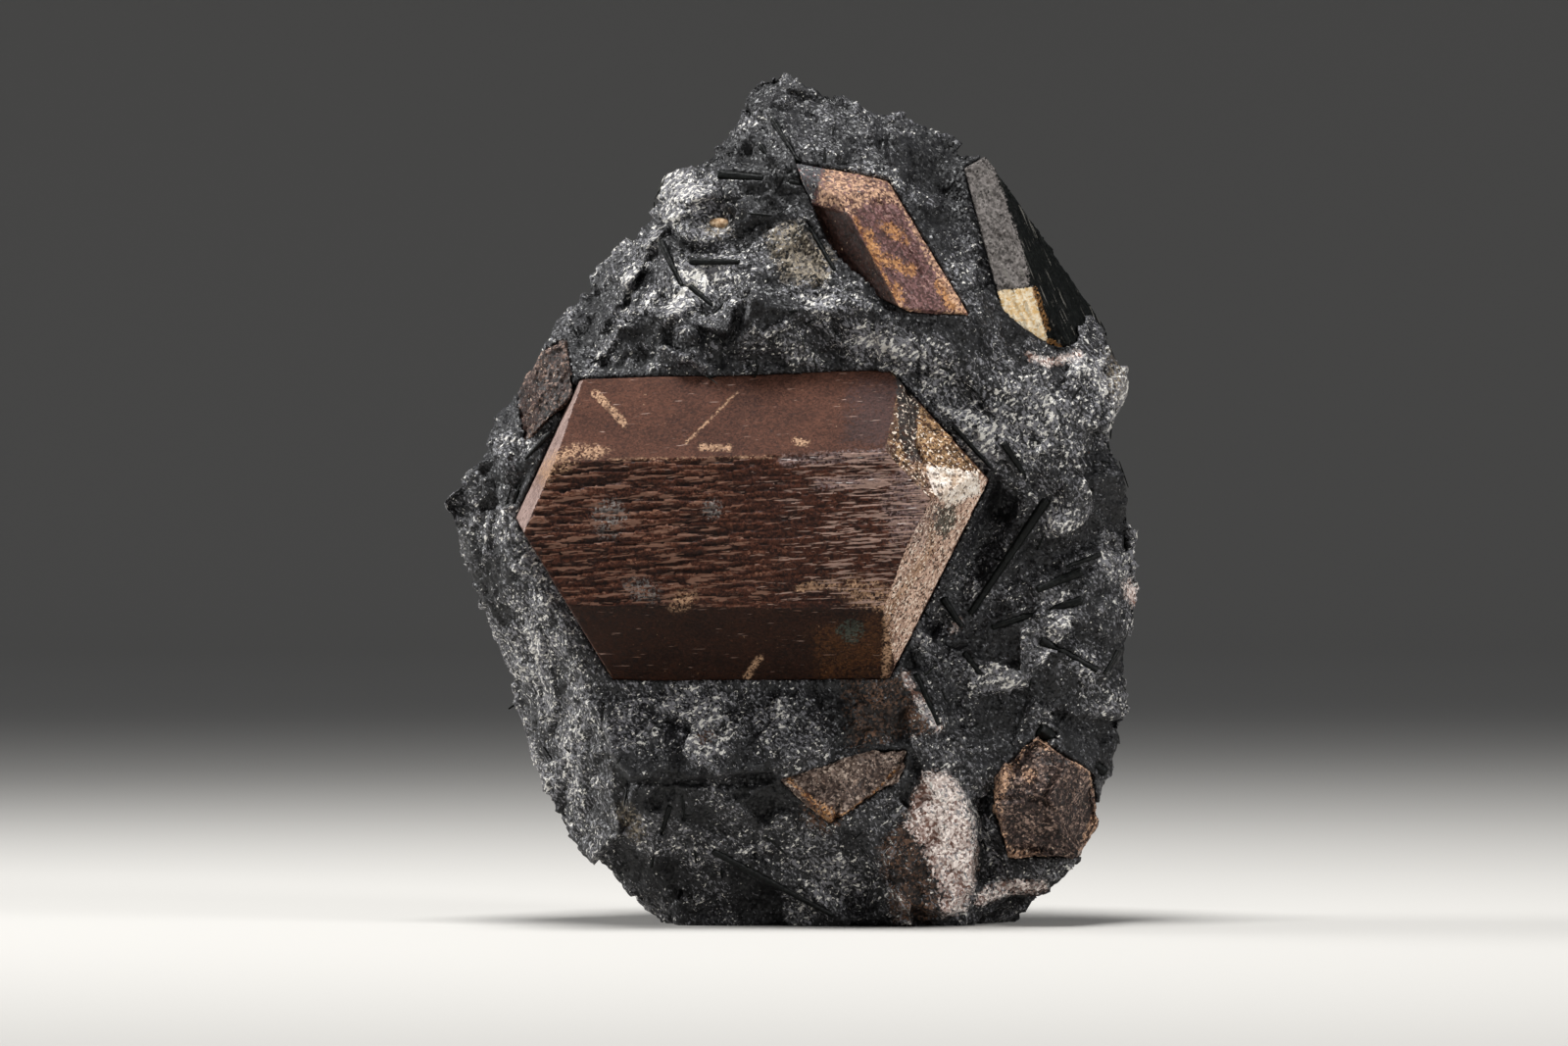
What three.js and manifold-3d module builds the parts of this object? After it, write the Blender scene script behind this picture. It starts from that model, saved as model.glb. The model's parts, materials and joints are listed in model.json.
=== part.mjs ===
// Lorenzenite crystals in their dark, fine-grained matrix: a hand specimen standing on a flat break.
//
// Millimetres, +Z up, the show side faces -Y. The origin is on the surface that the specimen stands on,
// under the middle of its bounding box.

import * as THREE from 'three';
import { mergeVertices } from 'three/addons/utils/BufferGeometryUtils.js';
import Module from 'manifold-3d';

const wasm = await Module();
wasm.setup();

// Driving dimensions
const SPECIMEN_HEIGHT = 95; // resting face to the top knob
const BACK_REACH = 30; // how far the matrix runs behind the plane of the rim
const CONTACT_GAP = 0.3; // left between a crystal and the wall of its socket
const VIEW_DISTANCE = 1000; // the show side was traced by an eye this far in front of the rim's plane

// The show side was traced on a picture grid: [across, down] in grid steps, then mm forward of the
// rim's plane.
const GRID_TOP = 75;
const GRID_FOOT = 942;
const GRID_EYE = { across: 800, down: 533.5 };
const GRID_STEP = SPECIMEN_HEIGHT / (GRID_FOOT - GRID_TOP);

// The matrix's surface grid
const SPOKES = 120;
const FRONT_RINGS = 17;
const BACK_RINGS = 8;
const RIM_SLACK = 0.2; // how far the rim's line curves between its points
const RIM_SMOOTHING = 8; // passes that take the rim's small teeth out of each ring behind it
const FRONT_HUB = { across: 790, down: 530 };
const BACK_HUB = { across: 800, down: 680 };
const RING_CROWDING = 0.8; // under 1 crowds the front rings towards the rim
const BACK_FULLNESS = 0.45; // the lower, the squarer the hidden side
const BACK_ROUNDING = 0.9; // the lower, the sooner the hidden side is deep
const GRAIN = { coarse: { size: 6, height: 0.45 }, fine: { size: 2.6, height: 0.3 } };
const LUMPS = { coarse: { size: 17, height: 1.6 }, fine: { size: 6, height: 0.7 } };

// The rim: the matrix's outline, clockwise from the top knob. Its foot runs below the resting face and
// is cut there.
const RIM = [
  [791, 75, -3], [803, 82, -2.5], [841, 92, -3], [867, 102, -3.5], [885, 109, -3.5], [893, 115, -3],
  [911, 113, -4], [926, 117, -4], [936, 127, -3.5], [970, 138, -4], [982, 152, -3.5], [1003, 160, -3],
  [1012, 168, -2.5], [1024, 196, -2.5], [1037, 217, -3], [1065, 240, -5], [1083, 254, -5.5],
  [1089, 275, -6], [1105, 308, -6], [1118, 327, -5.5], [1140, 352, -4], [1147, 379, -4], [1149, 396, -4],
  [1140, 412, -3.5], [1129, 442, -2.5], [1125, 455, -2], [1146, 481, -2.5], [1150, 505, -3],
  [1155, 537, -3], [1152, 560, -2.5], [1161, 597, -3], [1164, 616, -3], [1159, 637, -2], [1149, 655, -1.5],
  [1149, 684, -1.5], [1145, 713, -1.5], [1145, 742, -1], [1135, 786, 0], [1125, 798, 1], [1122, 820, 1],
  [1113, 845, 1.5], [1108, 866, 2], [1098, 890, 2], [1077, 912, 2], [1064, 917, 2.5], [1040, 917, 3],
  [1031, 910, 3.5], [1017, 916, 4], [1003, 925, 4.5], [992, 937, 5], [970, 1000, 4], [840, 1005, 4],
  [715, 1000, 3], [690, 938, 4], [676, 918, 3.5], [659, 910, 3], [635, 892, 2], [606, 877, 1],
  [588, 866, 0], [574, 848, -1], [565, 825, -1.5], [559, 795, -2], [547, 760, -2.5], [543, 731, -2.5],
  [541, 707, -2.5], [530, 690, -2], [521, 660, -1.5], [503, 634, -1], [492, 607, -1], [480, 581, -0.5],
  [475, 553, 0], [467, 539, 0.5], [456, 520, 1], [455, 510, 1], [466, 504, 1], [474, 489, 1],
  [495, 463, 1], [503, 428, -1], [533, 396, -1.5], [550, 364, -1.5], [564, 340, -1.5], [571, 321, -2],
  [584, 313, -2], [597, 307, -2.5], [602, 287, -3], [624, 264, -2.5], [647, 241, -2], [668, 222, -1.5],
  [676, 197, -1], [688, 177, -1], [712, 161, -1.5], [750, 134, -2], [759, 114, -2.5], [759, 101, -3],
  [767, 87, -3.5], [777, 77, -3.5],
];

// The relief of the show side: the corners of its breaks, ridges, ledges and pits.
const RELIEF = {
  topKnob: [[785, 105, 0.5], [850, 122, 0.5], [900, 142, 0], [950, 162, 0], [740, 160, 3], [800, 150, 4.5]],
  upperFace: [
    [860, 158, 4], [720, 190, 4], [780, 200, 6.5], [800, 250, 8.5], [832, 235, 7.5], [845, 290, 10.5],
    [825, 205, 7], [845, 172, 5], [900, 165, 4], [940, 200, 5], [970, 260, 6.5], [995, 320, 8],
  ],
  grainPit: [[735, 222, 3.2], [708, 226, 5.5], [762, 226, 6.8], [735, 200, 5], [735, 246, 6.8]],
  leftRidge: [[690, 207, 4], [668, 246, 4], [650, 285, 5.5], [630, 330, 7], [598, 386, 8.8]],
  leftSteps: [
    [650, 258, 0.5], [622, 300, 0.8], [636, 308, 1.6], [606, 330, 1.6], [586, 345, 2.2], [612, 360, 4],
    [592, 372, 5],
  ],
  brightScoop: [[690, 262, 6], [716, 300, 8], [668, 308, 7.6], [742, 330, 10], [690, 326, 9]],
  brow: [[760, 302, 11.8], [800, 316, 12.8], [870, 312, 12.8], [922, 336, 12.2], [960, 348, 11.2]],
  underBrow: [
    [650, 352, 9], [700, 350, 10.4], [640, 388, 9.6], [700, 386, 10.2], [760, 384, 10.2], [830, 382, 10.2],
    [915, 378, 10.2], [942, 396, 10.2],
  ],
  rightShoulder: [
    [975, 190, 1.8], [990, 240, 3.2], [1005, 290, 4.8], [1030, 335, 5], [1056, 366, 4.6], [1085, 372, 2.2],
    [1110, 350, -1.2], [1126, 384, -0.4], [1060, 230, -2.5], [1085, 300, -3.2],
  ],
  rightSlope: [
    [1000, 380, 9], [1050, 402, 6.5], [1095, 420, 4], [970, 425, 9.4], [1012, 455, 8], [1060, 460, 6],
    [1104, 470, 3.6], [1020, 488, 6.6],
  ],
  rightHollow: [
    [1008, 512, 4.2], [1045, 522, 4.4], [1000, 545, 3.2], [985, 592, 3], [960, 640, 3.4], [1022, 590, 3.6],
  ],
  rightBreak: [
    [1086, 494, 4.8], [1122, 498, 2.6], [1090, 552, 2.6], [1130, 552, 0.8], [1060, 604, 4.4],
    [1112, 592, 2.6], [1136, 622, 1.4], [1082, 650, 5], [1032, 652, 4.4], [988, 682, 5.6],
    [1122, 672, 3], [1140, 655, 0.8],
  ],
  lowerRight: [
    [940, 700, 8.2], [962, 740, 9], [1000, 722, 6.4], [1052, 712, 5.4], [1100, 722, 4], [1050, 748, 5.6],
    [1000, 762, 6.8],
  ],
  sectionLump: [
    [1018, 786, 6.8], [1060, 768, 7.2], [1112, 790, 4.6], [1070, 815, 8], [1112, 830, 4.8],
    [1060, 866, 7.4], [1024, 852, 6.8], [1092, 870, 4.4],
  ],
  footRight: [[1004, 822, 5.2], [1002, 872, 4.8], [1012, 902, 5], [1050, 896, 5.2], [1086, 896, 3.2]],
  feldsparMass: [
    [958, 798, 10], [976, 850, 10], [950, 880, 11.2], [972, 922, 8.4], [918, 902, 10.6], [924, 850, 11.6],
  ],
  belowCrystal: [[640, 700, 9.6], [720, 698, 9.6], [800, 697, 9.6], [890, 694, 9.6], [918, 682, 8.4]],
  belly: [[622, 740, 11.4], [700, 748, 12.4], [800, 750, 12.6], [880, 745, 12], [932, 766, 11]],
  bellyRidge: [[642, 802, 12.4], [700, 792, 14], [770, 790, 14.4], [830, 800, 14], [872, 832, 13.4]],
  underBelly: [
    [680, 850, 11.6], [760, 850, 12], [850, 872, 12], [700, 908, 8.6], [780, 906, 9.4], [862, 922, 9.4],
    [660, 872, 10],
  ],
  footArch: [[735, 930, 5.5], [795, 932, 6]],
  leftEdge: [[604, 696, 9.2], [622, 782, 12], [633, 832, 11.4], [646, 862, 9.6], [688, 914, 7]],
  leftFlank: [
    [572, 702, 4.2], [586, 762, 5], [592, 822, 5], [612, 850, 5.2], [560, 742, 1], [640, 885, 4.8],
    [576, 838, 1],
  ],
  leftWing: [
    [520, 562, 5.2], [540, 600, 6.4], [576, 652, 8.4], [545, 652, 3.8], [562, 682, 4], [510, 602, 3.2],
    [506, 540, 4], [490, 515, 3], [520, 500, 5.2], [545, 474, 6.4], [506, 470, 3.4], [530, 442, 3.6],
    [560, 442, 7], [576, 420, 8], [552, 402, 4.4], [576, 372, 4.6], [526, 412, 1.2],
  ],
  underMainCrystal: [[620, 540, 8], [700, 540, 8], [850, 540, 8], [930, 560, 7]],
};

// Old breaks across the hidden side: outward normals, and distances from the middle of the matrix.
const MATRIX_MIDDLE = new THREE.Vector3(0, 8, 46);
const BREAKS = [
  { normal: [0.1, 1, 0.05], distance: 19 },
  { normal: [0.1, 0.8, 0.75], distance: 29 },
  { normal: [-0.6, 0.6, 0.6], distance: 26 },
  { normal: [0.7, 0.6, 0.45], distance: 32.5 },
  { normal: [-0.85, 0.75, 0.1], distance: 25 },
  { normal: [0.9, 0.7, -0.15], distance: 27 },
  { normal: [-0.45, 0.8, -0.55], distance: 26 },
  { normal: [0.4, 0.85, -0.4], distance: 25 },
];

// Crystals: each flat face by three of its points, on the picture grid, and a point inside.
const CRYSTALS = {
  lorenzenite_main: {
    colour: 0x4a3027,
    roughness: 0.55,
    inside: [765, 540, 8],
    faces: {
      frontUpper: [[567, 468, 18.6], [905, 463, 18.6], [700, 555, 19.3]],
      frontLower: [[540, 555, 19.3], [900, 555, 19.3], [700, 619, 18.2]],
      top: [[593, 391, 10.6], [915, 381, 10.6], [740, 466, 18.6]],
      bottom: [[585, 618, 18.2], [890, 622, 18.2], [760, 691, 10]],
      leftUpper: [[535, 541, 19.2], [567, 468, 18.6], [526, 540, 10]],
      leftLower: [[534, 543, 19.2], [625, 692, 10], [536, 543, 0]],
      rightUpper: [[907, 463, 18.6], [948, 508, 19], [924, 386, 10.8]],
      rightLower: [[949, 512, 19], [902, 636, 17], [999, 508, 11]],
      topBack: [[593, 387, 10], [915, 377, 10], [740, 386, -2]],
      bottomBack: [[600, 695, 9.4], [890, 692, 9.4], [740, 690, -2]],
      rightUpperSide: [[936, 408, 10.6], [1002, 482, 10.6], [937, 409, -2]],
      rightLowerSide: [[1000, 506, 11], [926, 655, 9], [1000, 508, -2]],
      back: [[600, 500, -2], [900, 500, -2], [700, 600, -2]],
    },
  },
  lorenzenite_upper: {
    colour: 0x5c4038,
    roughness: 0.6,
    inside: [900, 260, 4],
    faces: {
      dark: [[865, 219, 10], [919, 314, 12.6], [838, 246, 7.4]],
      light: [[865, 219, 10], [919, 314, 12.6], [962, 276, 7.6]],
      head: [[842, 174, 5.4], [918, 187, 4.6], [872, 208, 10]],
      foot: [[919, 314, 12.4], [984, 322, 8.2], [930, 334, 6]],
      headBack: [[842, 172, 5], [918, 185, 4.4], [843, 174, -3]],
      footBack: [[952, 338, 8], [986, 322, 8], [953, 339, -3]],
      rightSide: [[912, 194, 6], [985, 316, 8], [914, 194, -5]],
      leftSide: [[829, 210, 7.4], [860, 286, 10], [830, 210, -5]],
      lowerLeft: [[858, 284, 10], [920, 314, 12], [858, 285, -5]],
      back: [[850, 250, 0], [950, 250, 0], [900, 300, 0]],
    },
  },
  aegirine_column: {
    colour: 0x232323,
    roughness: 0.45,
    inside: [1030, 250, -3],
    faces: {
      greyFront: [[988, 190, 2.9], [1013, 170, 1.4], [1052, 292, 4.4]],
      blackSide: [[1013, 169, 1.4], [1056, 300, 4.4], [1092, 290, -4.6]],
      honeyEnd: [[1018, 297, 5.2], [1052, 293, 4.4], [1074, 360, 1.8]],
      leftSide: [[984, 172, 2], [1018, 300, 5], [983, 172, -8]],
      head: [[984, 172, 2], [1005, 161, 1], [985, 170, -8]],
      shoulder: [[1005, 161, 1], [1041, 212, -3], [1005, 160, -8]],
      outerSide: [[1040, 211, -3], [1110, 311, -5], [1040, 211, -12]],
      foot: [[1030, 326, 4], [1078, 362, 1], [1032, 326, -8]],
      toe: [[1070, 358, 1], [1122, 344, -4], [1072, 360, -10]],
      back: [[1000, 200, -7], [1060, 200, -7.5], [1030, 300, -7.5]],
    },
  },
  lorenzenite_left: {
    colour: 0x453c35,
    roughness: 0.6,
    inside: [560, 400, 1],
    faces: {
      greyFront: [[574, 350, 5.6], [582, 404, 8.6], [546, 410, 5.8]],
      darkSide: [[546, 376, 4.6], [548, 420, 6.2], [531, 410, 1.6]],
      head: [[555, 360, 4], [577, 348, 5.6], [556, 358, -4]],
      right: [[577, 348, 5.6], [585, 400, 8], [578, 348, -4]],
      foot: [[584, 404, 8.4], [532, 455, 3], [584, 407, -4]],
      outerSide: [[552, 364, 2], [530, 400, 0], [551, 364, -5]],
      lowerSide: [[530, 400, 0], [526, 455, 2], [529, 400, -5]],
      back: [[540, 380, -2], [580, 380, 0], [560, 420, -1]],
    },
  },
  lorenzenite_wedge: {
    colour: 0x6a5140,
    roughness: 0.7,
    inside: [880, 795, 9],
    faces: {
      upper: [[800, 797, 14.3], [925, 768, 12], [850, 806, 15.4]],
      lower: [[850, 806, 15.4], [918, 790, 13.6], [846, 838, 13.6]],
      topSide: [[798, 795, 14], [892, 765, 12], [798, 794, 6]],
      headSide: [[892, 765, 12], [925, 766, 12], [892, 764, 6]],
      endSide: [[925, 766, 12], [916, 796, 12], [926, 766, 6]],
      lowSide: [[918, 794, 12], [846, 841, 13], [918, 795, 6]],
      tip: [[848, 842, 13], [798, 797, 14], [847, 843, 6]],
      back: [[820, 790, 7.5], [900, 780, 7.5], [860, 810, 7.5]],
    },
  },
  lorenzenite_section: {
    colour: 0x4e3a32,
    roughness: 0.75,
    inside: [1068, 815, 4],
    faces: {
      dome: [[1040, 800, 9.6], [1090, 800, 8.4], [1060, 840, 9.4]],
      domeLeft: [[1040, 800, 9.6], [1040, 840, 9.6], [1018, 815, 7.6]],
      domeRight: [[1088, 800, 8.4], [1082, 850, 8], [1118, 815, 4.6]],
      topLeft: [[1016, 792, 7], [1058, 753, 7], [1015, 791, -1]],
      topRight: [[1058, 753, 7], [1112, 788, 4], [1059, 752, -1]],
      right: [[1112, 788, 4], [1119, 838, 4], [1114, 788, -2]],
      lowerRight: [[1119, 838, 4], [1098, 874, 4], [1120, 839, -2]],
      bottom: [[1098, 874, 4], [1030, 874, 7], [1098, 876, -2]],
      left: [[1030, 874, 7], [1015, 830, 7], [1029, 875, -2]],
      leftTop: [[1015, 830, 7], [1016, 792, 7], [1014, 830, -2]],
      back: [[1040, 800, 0], [1090, 800, 0], [1060, 840, 0]],
    },
  },
};
const PALE_GRAIN = { centre: [734, 229, 4.4], halfWidth: 1.5, halfHeight: 0.75, halfDepth: 0.9 };

// Aegirine needles lying in the show side: two ends on the picture grid, then the radius in mm.
const NEEDLES = [
  [[733, 178], [779, 182], 0.6],
  [[805, 185], [828, 190], 0.35],
  [[776, 148], [852, 276], 0.4],
  [[788, 122], [821, 175], 0.35],
  [[704, 267], [755, 267], 0.45],
  [[674, 246], [696, 292], 0.45],
  [[704, 292], [728, 312], 0.4],
  [[684, 822], [664, 885], 0.35],
  [[727, 868], [850, 934], 0.45],
  [[1068, 510], [990, 626], 0.6],
  [[1122, 566], [1088, 578], 0.35],
  [[1103, 583], [1058, 602], 0.6],
  [[1104, 612], [1012, 640], 0.55],
  [[1062, 653], [1120, 684], 0.6],
  [[1140, 664], [1126, 688], 0.4],
  [[1060, 744], [1128, 788], 0.85],
  [[934, 688], [958, 740], 0.45],
  [[1024, 452], [1044, 482], 0.45],
  [[972, 434], [1012, 478], 0.35],
  [[962, 610], [982, 640], 0.5],
  [[984, 666], [1000, 688], 0.45],
  [[562, 441], [536, 468], 0.35],
];
const RAW_BLOCK = 150; // the block that each crystal is cut from
const NEEDLE_SIDES = 6;
const NEEDLE_TAPER = 0.7; // a needle's far end, as a share of its radius
const NEEDLE_LIFT = 0.1; // the needle's axis above the matrix

const LOOKS = {
  matrix: { color: 0x3d3e40, roughness: 0.8, metalness: 0 },
  needle: { color: 0x0d0e0d, roughness: 0.3, metalness: 0 },
  paleGrain: { color: 0xc9a987, roughness: 0.6, metalness: 0 },
};

// The point of the specimen seen at a place on the picture grid, standing forward by so much.
function traced(across, down, forward) {
  const perspective = 1 - forward / VIEW_DISTANCE;
  const x = (across - GRID_EYE.across) * GRID_STEP * perspective;
  const up = (GRID_FOOT - GRID_EYE.down) * GRID_STEP + (GRID_EYE.down - down) * GRID_STEP * perspective;
  return new THREE.Vector3(x, -forward, up);
}

// A repeatable number from -1 to 1 for each corner of a cubic lattice.
function cornerValue(i, j, k) {
  const s = Math.sin(i * 127.1 + j * 311.7 + k * 74.7) * 43758.5453;
  return 2 * (s - Math.floor(s)) - 1;
}

// Smooth noise from -1 to 1, with features of a given size.
function noise(point, size) {
  const p = point.clone().divideScalar(size);
  const base = p.clone().floor();
  const f = p.sub(base).toArray().map((t) => t * t * (3 - 2 * t));
  let sum = 0;
  for (let corner = 0; corner < 8; corner++) {
    const [a, b, c] = [corner & 1, (corner >> 1) & 1, corner >> 2];
    const weight = (a ? f[0] : 1 - f[0]) * (b ? f[1] : 1 - f[1]) * (c ? f[2] : 1 - f[2]);
    sum += weight * cornerValue(base.x + a, base.y + b, base.z + c);
  }
  return sum;
}

// Noise in two sizes, in mm.
function roughen(point, { coarse, fine }) {
  return coarse.height * noise(point, coarse.size) + fine.height * noise(point, fine.size);
}

// Whether a flat point is inside the circle through a counter-clockwise triangle's corners.
function inCircle(corners, p) {
  const [[ax, ay], [bx, by], [cx, cy]] = corners.map((q) => [q[0] - p[0], q[1] - p[1]]);
  const square = (x, y) => x * x + y * y;
  return (
    ax * (by * square(cx, cy) - square(bx, by) * cy) -
      ay * (bx * square(cx, cy) - square(bx, by) * cx) +
      square(ax, ay) * (bx * cy - by * cx) > 0
  );
}

// Delaunay triangles over flat points: the net that carries the relief.
function triangulate(points) {
  const far = 1e5;
  const all = [...points, [-far, -far], [far, -far], [0, far]];
  const first = points.length;
  let triangles = [[first, first + 1, first + 2]];
  points.forEach((p, i) => {
    const broken = triangles.filter((t) => inCircle(t.map((k) => all[k]), p));
    const edges = broken.flatMap(([a, b, c]) => [[a, b], [b, c], [c, a]]);
    const border = edges.filter(([a, b]) => !edges.some(([c, d]) => c === b && d === a));
    triangles = triangles.filter((t) => !broken.includes(t)).concat(border.map(([a, b]) => [a, b, i]));
  });
  return triangles.filter((t) => t.every((k) => k < first));
}

const NET_POINTS = [...RIM, ...Object.values(RELIEF).flat()];
const NET = triangulate(NET_POINTS);

// How far forward the show side stands at a place on the picture grid.
function reliefAt(across, down) {
  for (const [i, j, k] of NET) {
    const [a, b, c] = [NET_POINTS[i], NET_POINTS[j], NET_POINTS[k]];
    const area = (b[0] - a[0]) * (c[1] - a[1]) - (c[0] - a[0]) * (b[1] - a[1]);
    const u = ((b[0] - across) * (c[1] - down) - (c[0] - across) * (b[1] - down)) / area;
    const v = ((c[0] - across) * (a[1] - down) - (a[0] - across) * (c[1] - down)) / area;
    const w = 1 - u - v;
    if (Math.min(u, v, w) >= -1e-6) return u * a[2] + v * b[2] + w * c[2];
  }
  throw new Error(`no relief at ${across}, ${down}`);
}

// A point of the matrix's show side, on a spoke from the hub to a rim point.
function frontPoint(rim, share) {
  const across = THREE.MathUtils.lerp(FRONT_HUB.across, rim.x, share);
  const down = THREE.MathUtils.lerp(FRONT_HUB.down, rim.y, share);
  const forward = share < 1 ? reliefAt(across, down) : rim.z;
  const point = traced(across, down, forward);
  point.y -= roughen(point, GRAIN);
  return point;
}

// A point of the matrix's hidden side, turned from the rim (0) to the back (1) and broken flat by the
// old breaks.
function backPoint(rim, share) {
  const angle = (share * Math.PI) / 2;
  const width = Math.cos(angle) ** BACK_FULLNESS;
  const { lerp } = THREE.MathUtils;
  const across = lerp(FRONT_HUB.across, BACK_HUB.across, share) + (rim.x - FRONT_HUB.across) * width;
  const down = lerp(FRONT_HUB.down, BACK_HUB.down, share) + (rim.y - FRONT_HUB.down) * width;
  const point = traced(across, down, rim.z - (rim.z + BACK_REACH) * Math.sin(angle) ** BACK_ROUNDING);
  for (const { normal, distance } of BREAKS) {
    const outward = new THREE.Vector3(...normal).normalize();
    const over = point.clone().sub(MATRIX_MIDDLE).dot(outward) - distance;
    if (over > 0) point.addScaledVector(outward, -over);
  }
  const outward = point.clone().sub(MATRIX_MIDDLE).normalize();
  return point.addScaledVector(outward, roughen(point, LUMPS) * Math.sin(angle));
}

// A closed mesh as a solid that can be cut and joined.
function solidOf(geometry) {
  const bare = geometry.index ? geometry.toNonIndexed() : geometry.clone();
  bare.deleteAttribute('normal');
  bare.deleteAttribute('uv');
  const merged = mergeVertices(bare, 1e-4);
  const mesh = new wasm.Mesh({
    numProp: 3,
    vertProperties: merged.attributes.position.array,
    triVerts: new Uint32Array(merged.index.array),
  });
  return new wasm.Manifold(mesh);
}

// A solid as a mesh geometry about its own middle, with the place of that middle.
function geometryOf(solid) {
  const { vertProperties, triVerts } = solid.getMesh();
  const geometry = new THREE.BufferGeometry();
  geometry.setAttribute('position', new THREE.BufferAttribute(vertProperties, 3));
  geometry.setIndex(new THREE.BufferAttribute(triVerts, 1));
  geometry.computeBoundingBox();
  const middle = geometry.boundingBox.getCenter(new THREE.Vector3());
  geometry.translate(-middle.x, -middle.y, -middle.z);
  const flat = geometry.toNonIndexed();
  flat.computeVertexNormals();
  return { geometry: flat, middle };
}

// A closed ring of points, each drawn towards its neighbours so many times.
function smoothed(ring, times) {
  const middleOf = (_, i) => ring.at(i - 1).clone().add(ring[(i + 1) % ring.length]).multiplyScalar(0.5);
  for (let turn = 0; turn < times; turn++) ring = ring.map(middleOf);
  return ring;
}

// The matrix before its sockets are cut: rings of points from the front hub over the rim to the back hub.
function rockSolid() {
  const corners = RIM.map((p) => new THREE.Vector3(...p));
  const curve = new THREE.CatmullRomCurve3(corners, true, 'catmullrom', RIM_SLACK);
  const rims = curve.getSpacedPoints(SPOKES).slice(0, SPOKES);
  const rings = [];
  for (let k = 1; k <= FRONT_RINGS; k++) {
    rings.push(rims.map((rim) => frontPoint(rim, (k / FRONT_RINGS) ** RING_CROWDING)));
  }
  let soft = rims;
  for (let k = 1; k < BACK_RINGS; k++) {
    soft = smoothed(soft, RIM_SMOOTHING);
    rings.push(soft.map((rim) => backPoint(rim, k / BACK_RINGS)));
  }
  const hubs = [frontPoint(rims[0], 0), backPoint(rims[0], 1)];
  const points = [...hubs, ...rings.flat()];
  const index = [];
  const at = (ring, spoke) => hubs.length + ring * SPOKES + (spoke % SPOKES);
  for (let spoke = 0; spoke < SPOKES; spoke++) {
    index.push(0, at(0, spoke + 1), at(0, spoke));
    for (let ring = 0; ring + 1 < rings.length; ring++) {
      const [a, b] = [at(ring, spoke), at(ring, spoke + 1)];
      const [c, d] = [at(ring + 1, spoke), at(ring + 1, spoke + 1)];
      index.push(a, b, c, b, d, c);
    }
    index.push(1, at(rings.length - 1, spoke), at(rings.length - 1, spoke + 1));
  }
  const geometry = new THREE.BufferGeometry().setFromPoints(points);
  geometry.setIndex(index);
  return solidOf(geometry).trimByPlane([0, 0, 1], 0);
}

// A crystal: a block cut by its flat faces, each moved outwards by so much.
function crystalSolid({ inside, faces }, grow = 0) {
  const middle = traced(...inside);
  const block = new THREE.BoxGeometry(RAW_BLOCK, RAW_BLOCK, RAW_BLOCK).translate(...middle);
  return Object.values(faces).reduce((solid, corners) => {
    const plane = new THREE.Plane().setFromCoplanarPoints(...corners.map((p) => traced(...p)));
    if (plane.distanceToPoint(middle) < 0) plane.negate();
    return solid.trimByPlane(plane.normal.toArray(), -plane.constant - grow);
  }, solidOf(block));
}

// A needle: a six-sided prism between two places on the show side, half sunk in it.
function needleSolid([from, to, radius], grow = 0) {
  const onSurface = ([across, down]) => traced(across, down, reliefAt(across, down) + NEEDLE_LIFT);
  const [a, b] = [onSurface(from), onSurface(to)];
  const along = b.clone().sub(a);
  const far = radius * NEEDLE_TAPER + grow;
  const prism = new THREE.CylinderGeometry(far, radius + grow, along.length() + 2 * grow, NEEDLE_SIDES);
  const turn = new THREE.Quaternion().setFromUnitVectors(new THREE.Vector3(0, 1, 0), along.normalize());
  const middle = a.lerp(b, 0.5);
  return solidOf(prism.applyQuaternion(turn).translate(...middle));
}

// The pale grain: a small rounded lump at the bottom of its pit.
function grainSolid({ centre, halfWidth, halfHeight, halfDepth }, grow = 0) {
  const middle = traced(...centre);
  const lump = new THREE.IcosahedronGeometry(1, 1);
  lump.scale(halfWidth + grow, halfDepth + grow, halfHeight + grow);
  return solidOf(lump.translate(...middle));
}

// The largest body of a solid, without the chips that cutting leaves.
function largestBody(solid) {
  return solid.decompose().sort((a, b) => b.volume() - a.volume())[0];
}

// Every embedded piece: its name, its look, and its solid at its true size or grown.
function embeddedPieces() {
  const pieces = Object.entries(CRYSTALS).map(([name, crystal]) => ({
    name,
    look: { color: crystal.colour, roughness: crystal.roughness, metalness: 0 },
    solid: (grow) => crystalSolid(crystal, grow),
  }));
  pieces.push({
    name: 'feldspar_grain',
    look: LOOKS.paleGrain,
    solid: (grow) => grainSolid(PALE_GRAIN, grow),
  });
  NEEDLES.forEach((needle, i) => {
    const name = `aegirine_needle_${String(i + 1).padStart(2, '0')}`;
    pieces.push({ name, look: LOOKS.needle, solid: (grow) => needleSolid(needle, grow) });
  });
  return pieces;
}

// A named mesh, placed by its middle.
function meshOf(name, solid, look) {
  const { geometry, middle } = geometryOf(solid);
  const mesh = new THREE.Mesh(geometry, new THREE.MeshStandardMaterial({ ...look, flatShading: true }));
  mesh.name = name;
  mesh.position.copy(middle);
  return mesh;
}

// The specimen: each piece gives way to those before it, and the matrix to them all.
function buildSpecimen() {
  const specimen = new THREE.Group();
  let rock = rockSolid();
  let taken = null;
  for (const { name, look, solid } of embeddedPieces()) {
    const whole = solid(0).trimByPlane([0, 0, 1], 0);
    const piece = taken ? largestBody(whole.subtract(taken)) : whole;
    const socket = solid(CONTACT_GAP);
    taken = taken ? taken.add(socket) : socket;
    specimen.add(meshOf(name, piece, look));
  }
  rock = largestBody(rock.subtract(taken));
  specimen.add(meshOf('matrix', rock, LOOKS.matrix));
  const box = new THREE.Box3().setFromObject(specimen);
  const middle = box.getCenter(new THREE.Vector3());
  specimen.position.set(-middle.x, -middle.y, -box.min.z);
  return specimen;
}

const root = new THREE.Group();
root.add(buildSpecimen());

export default root;
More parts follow.
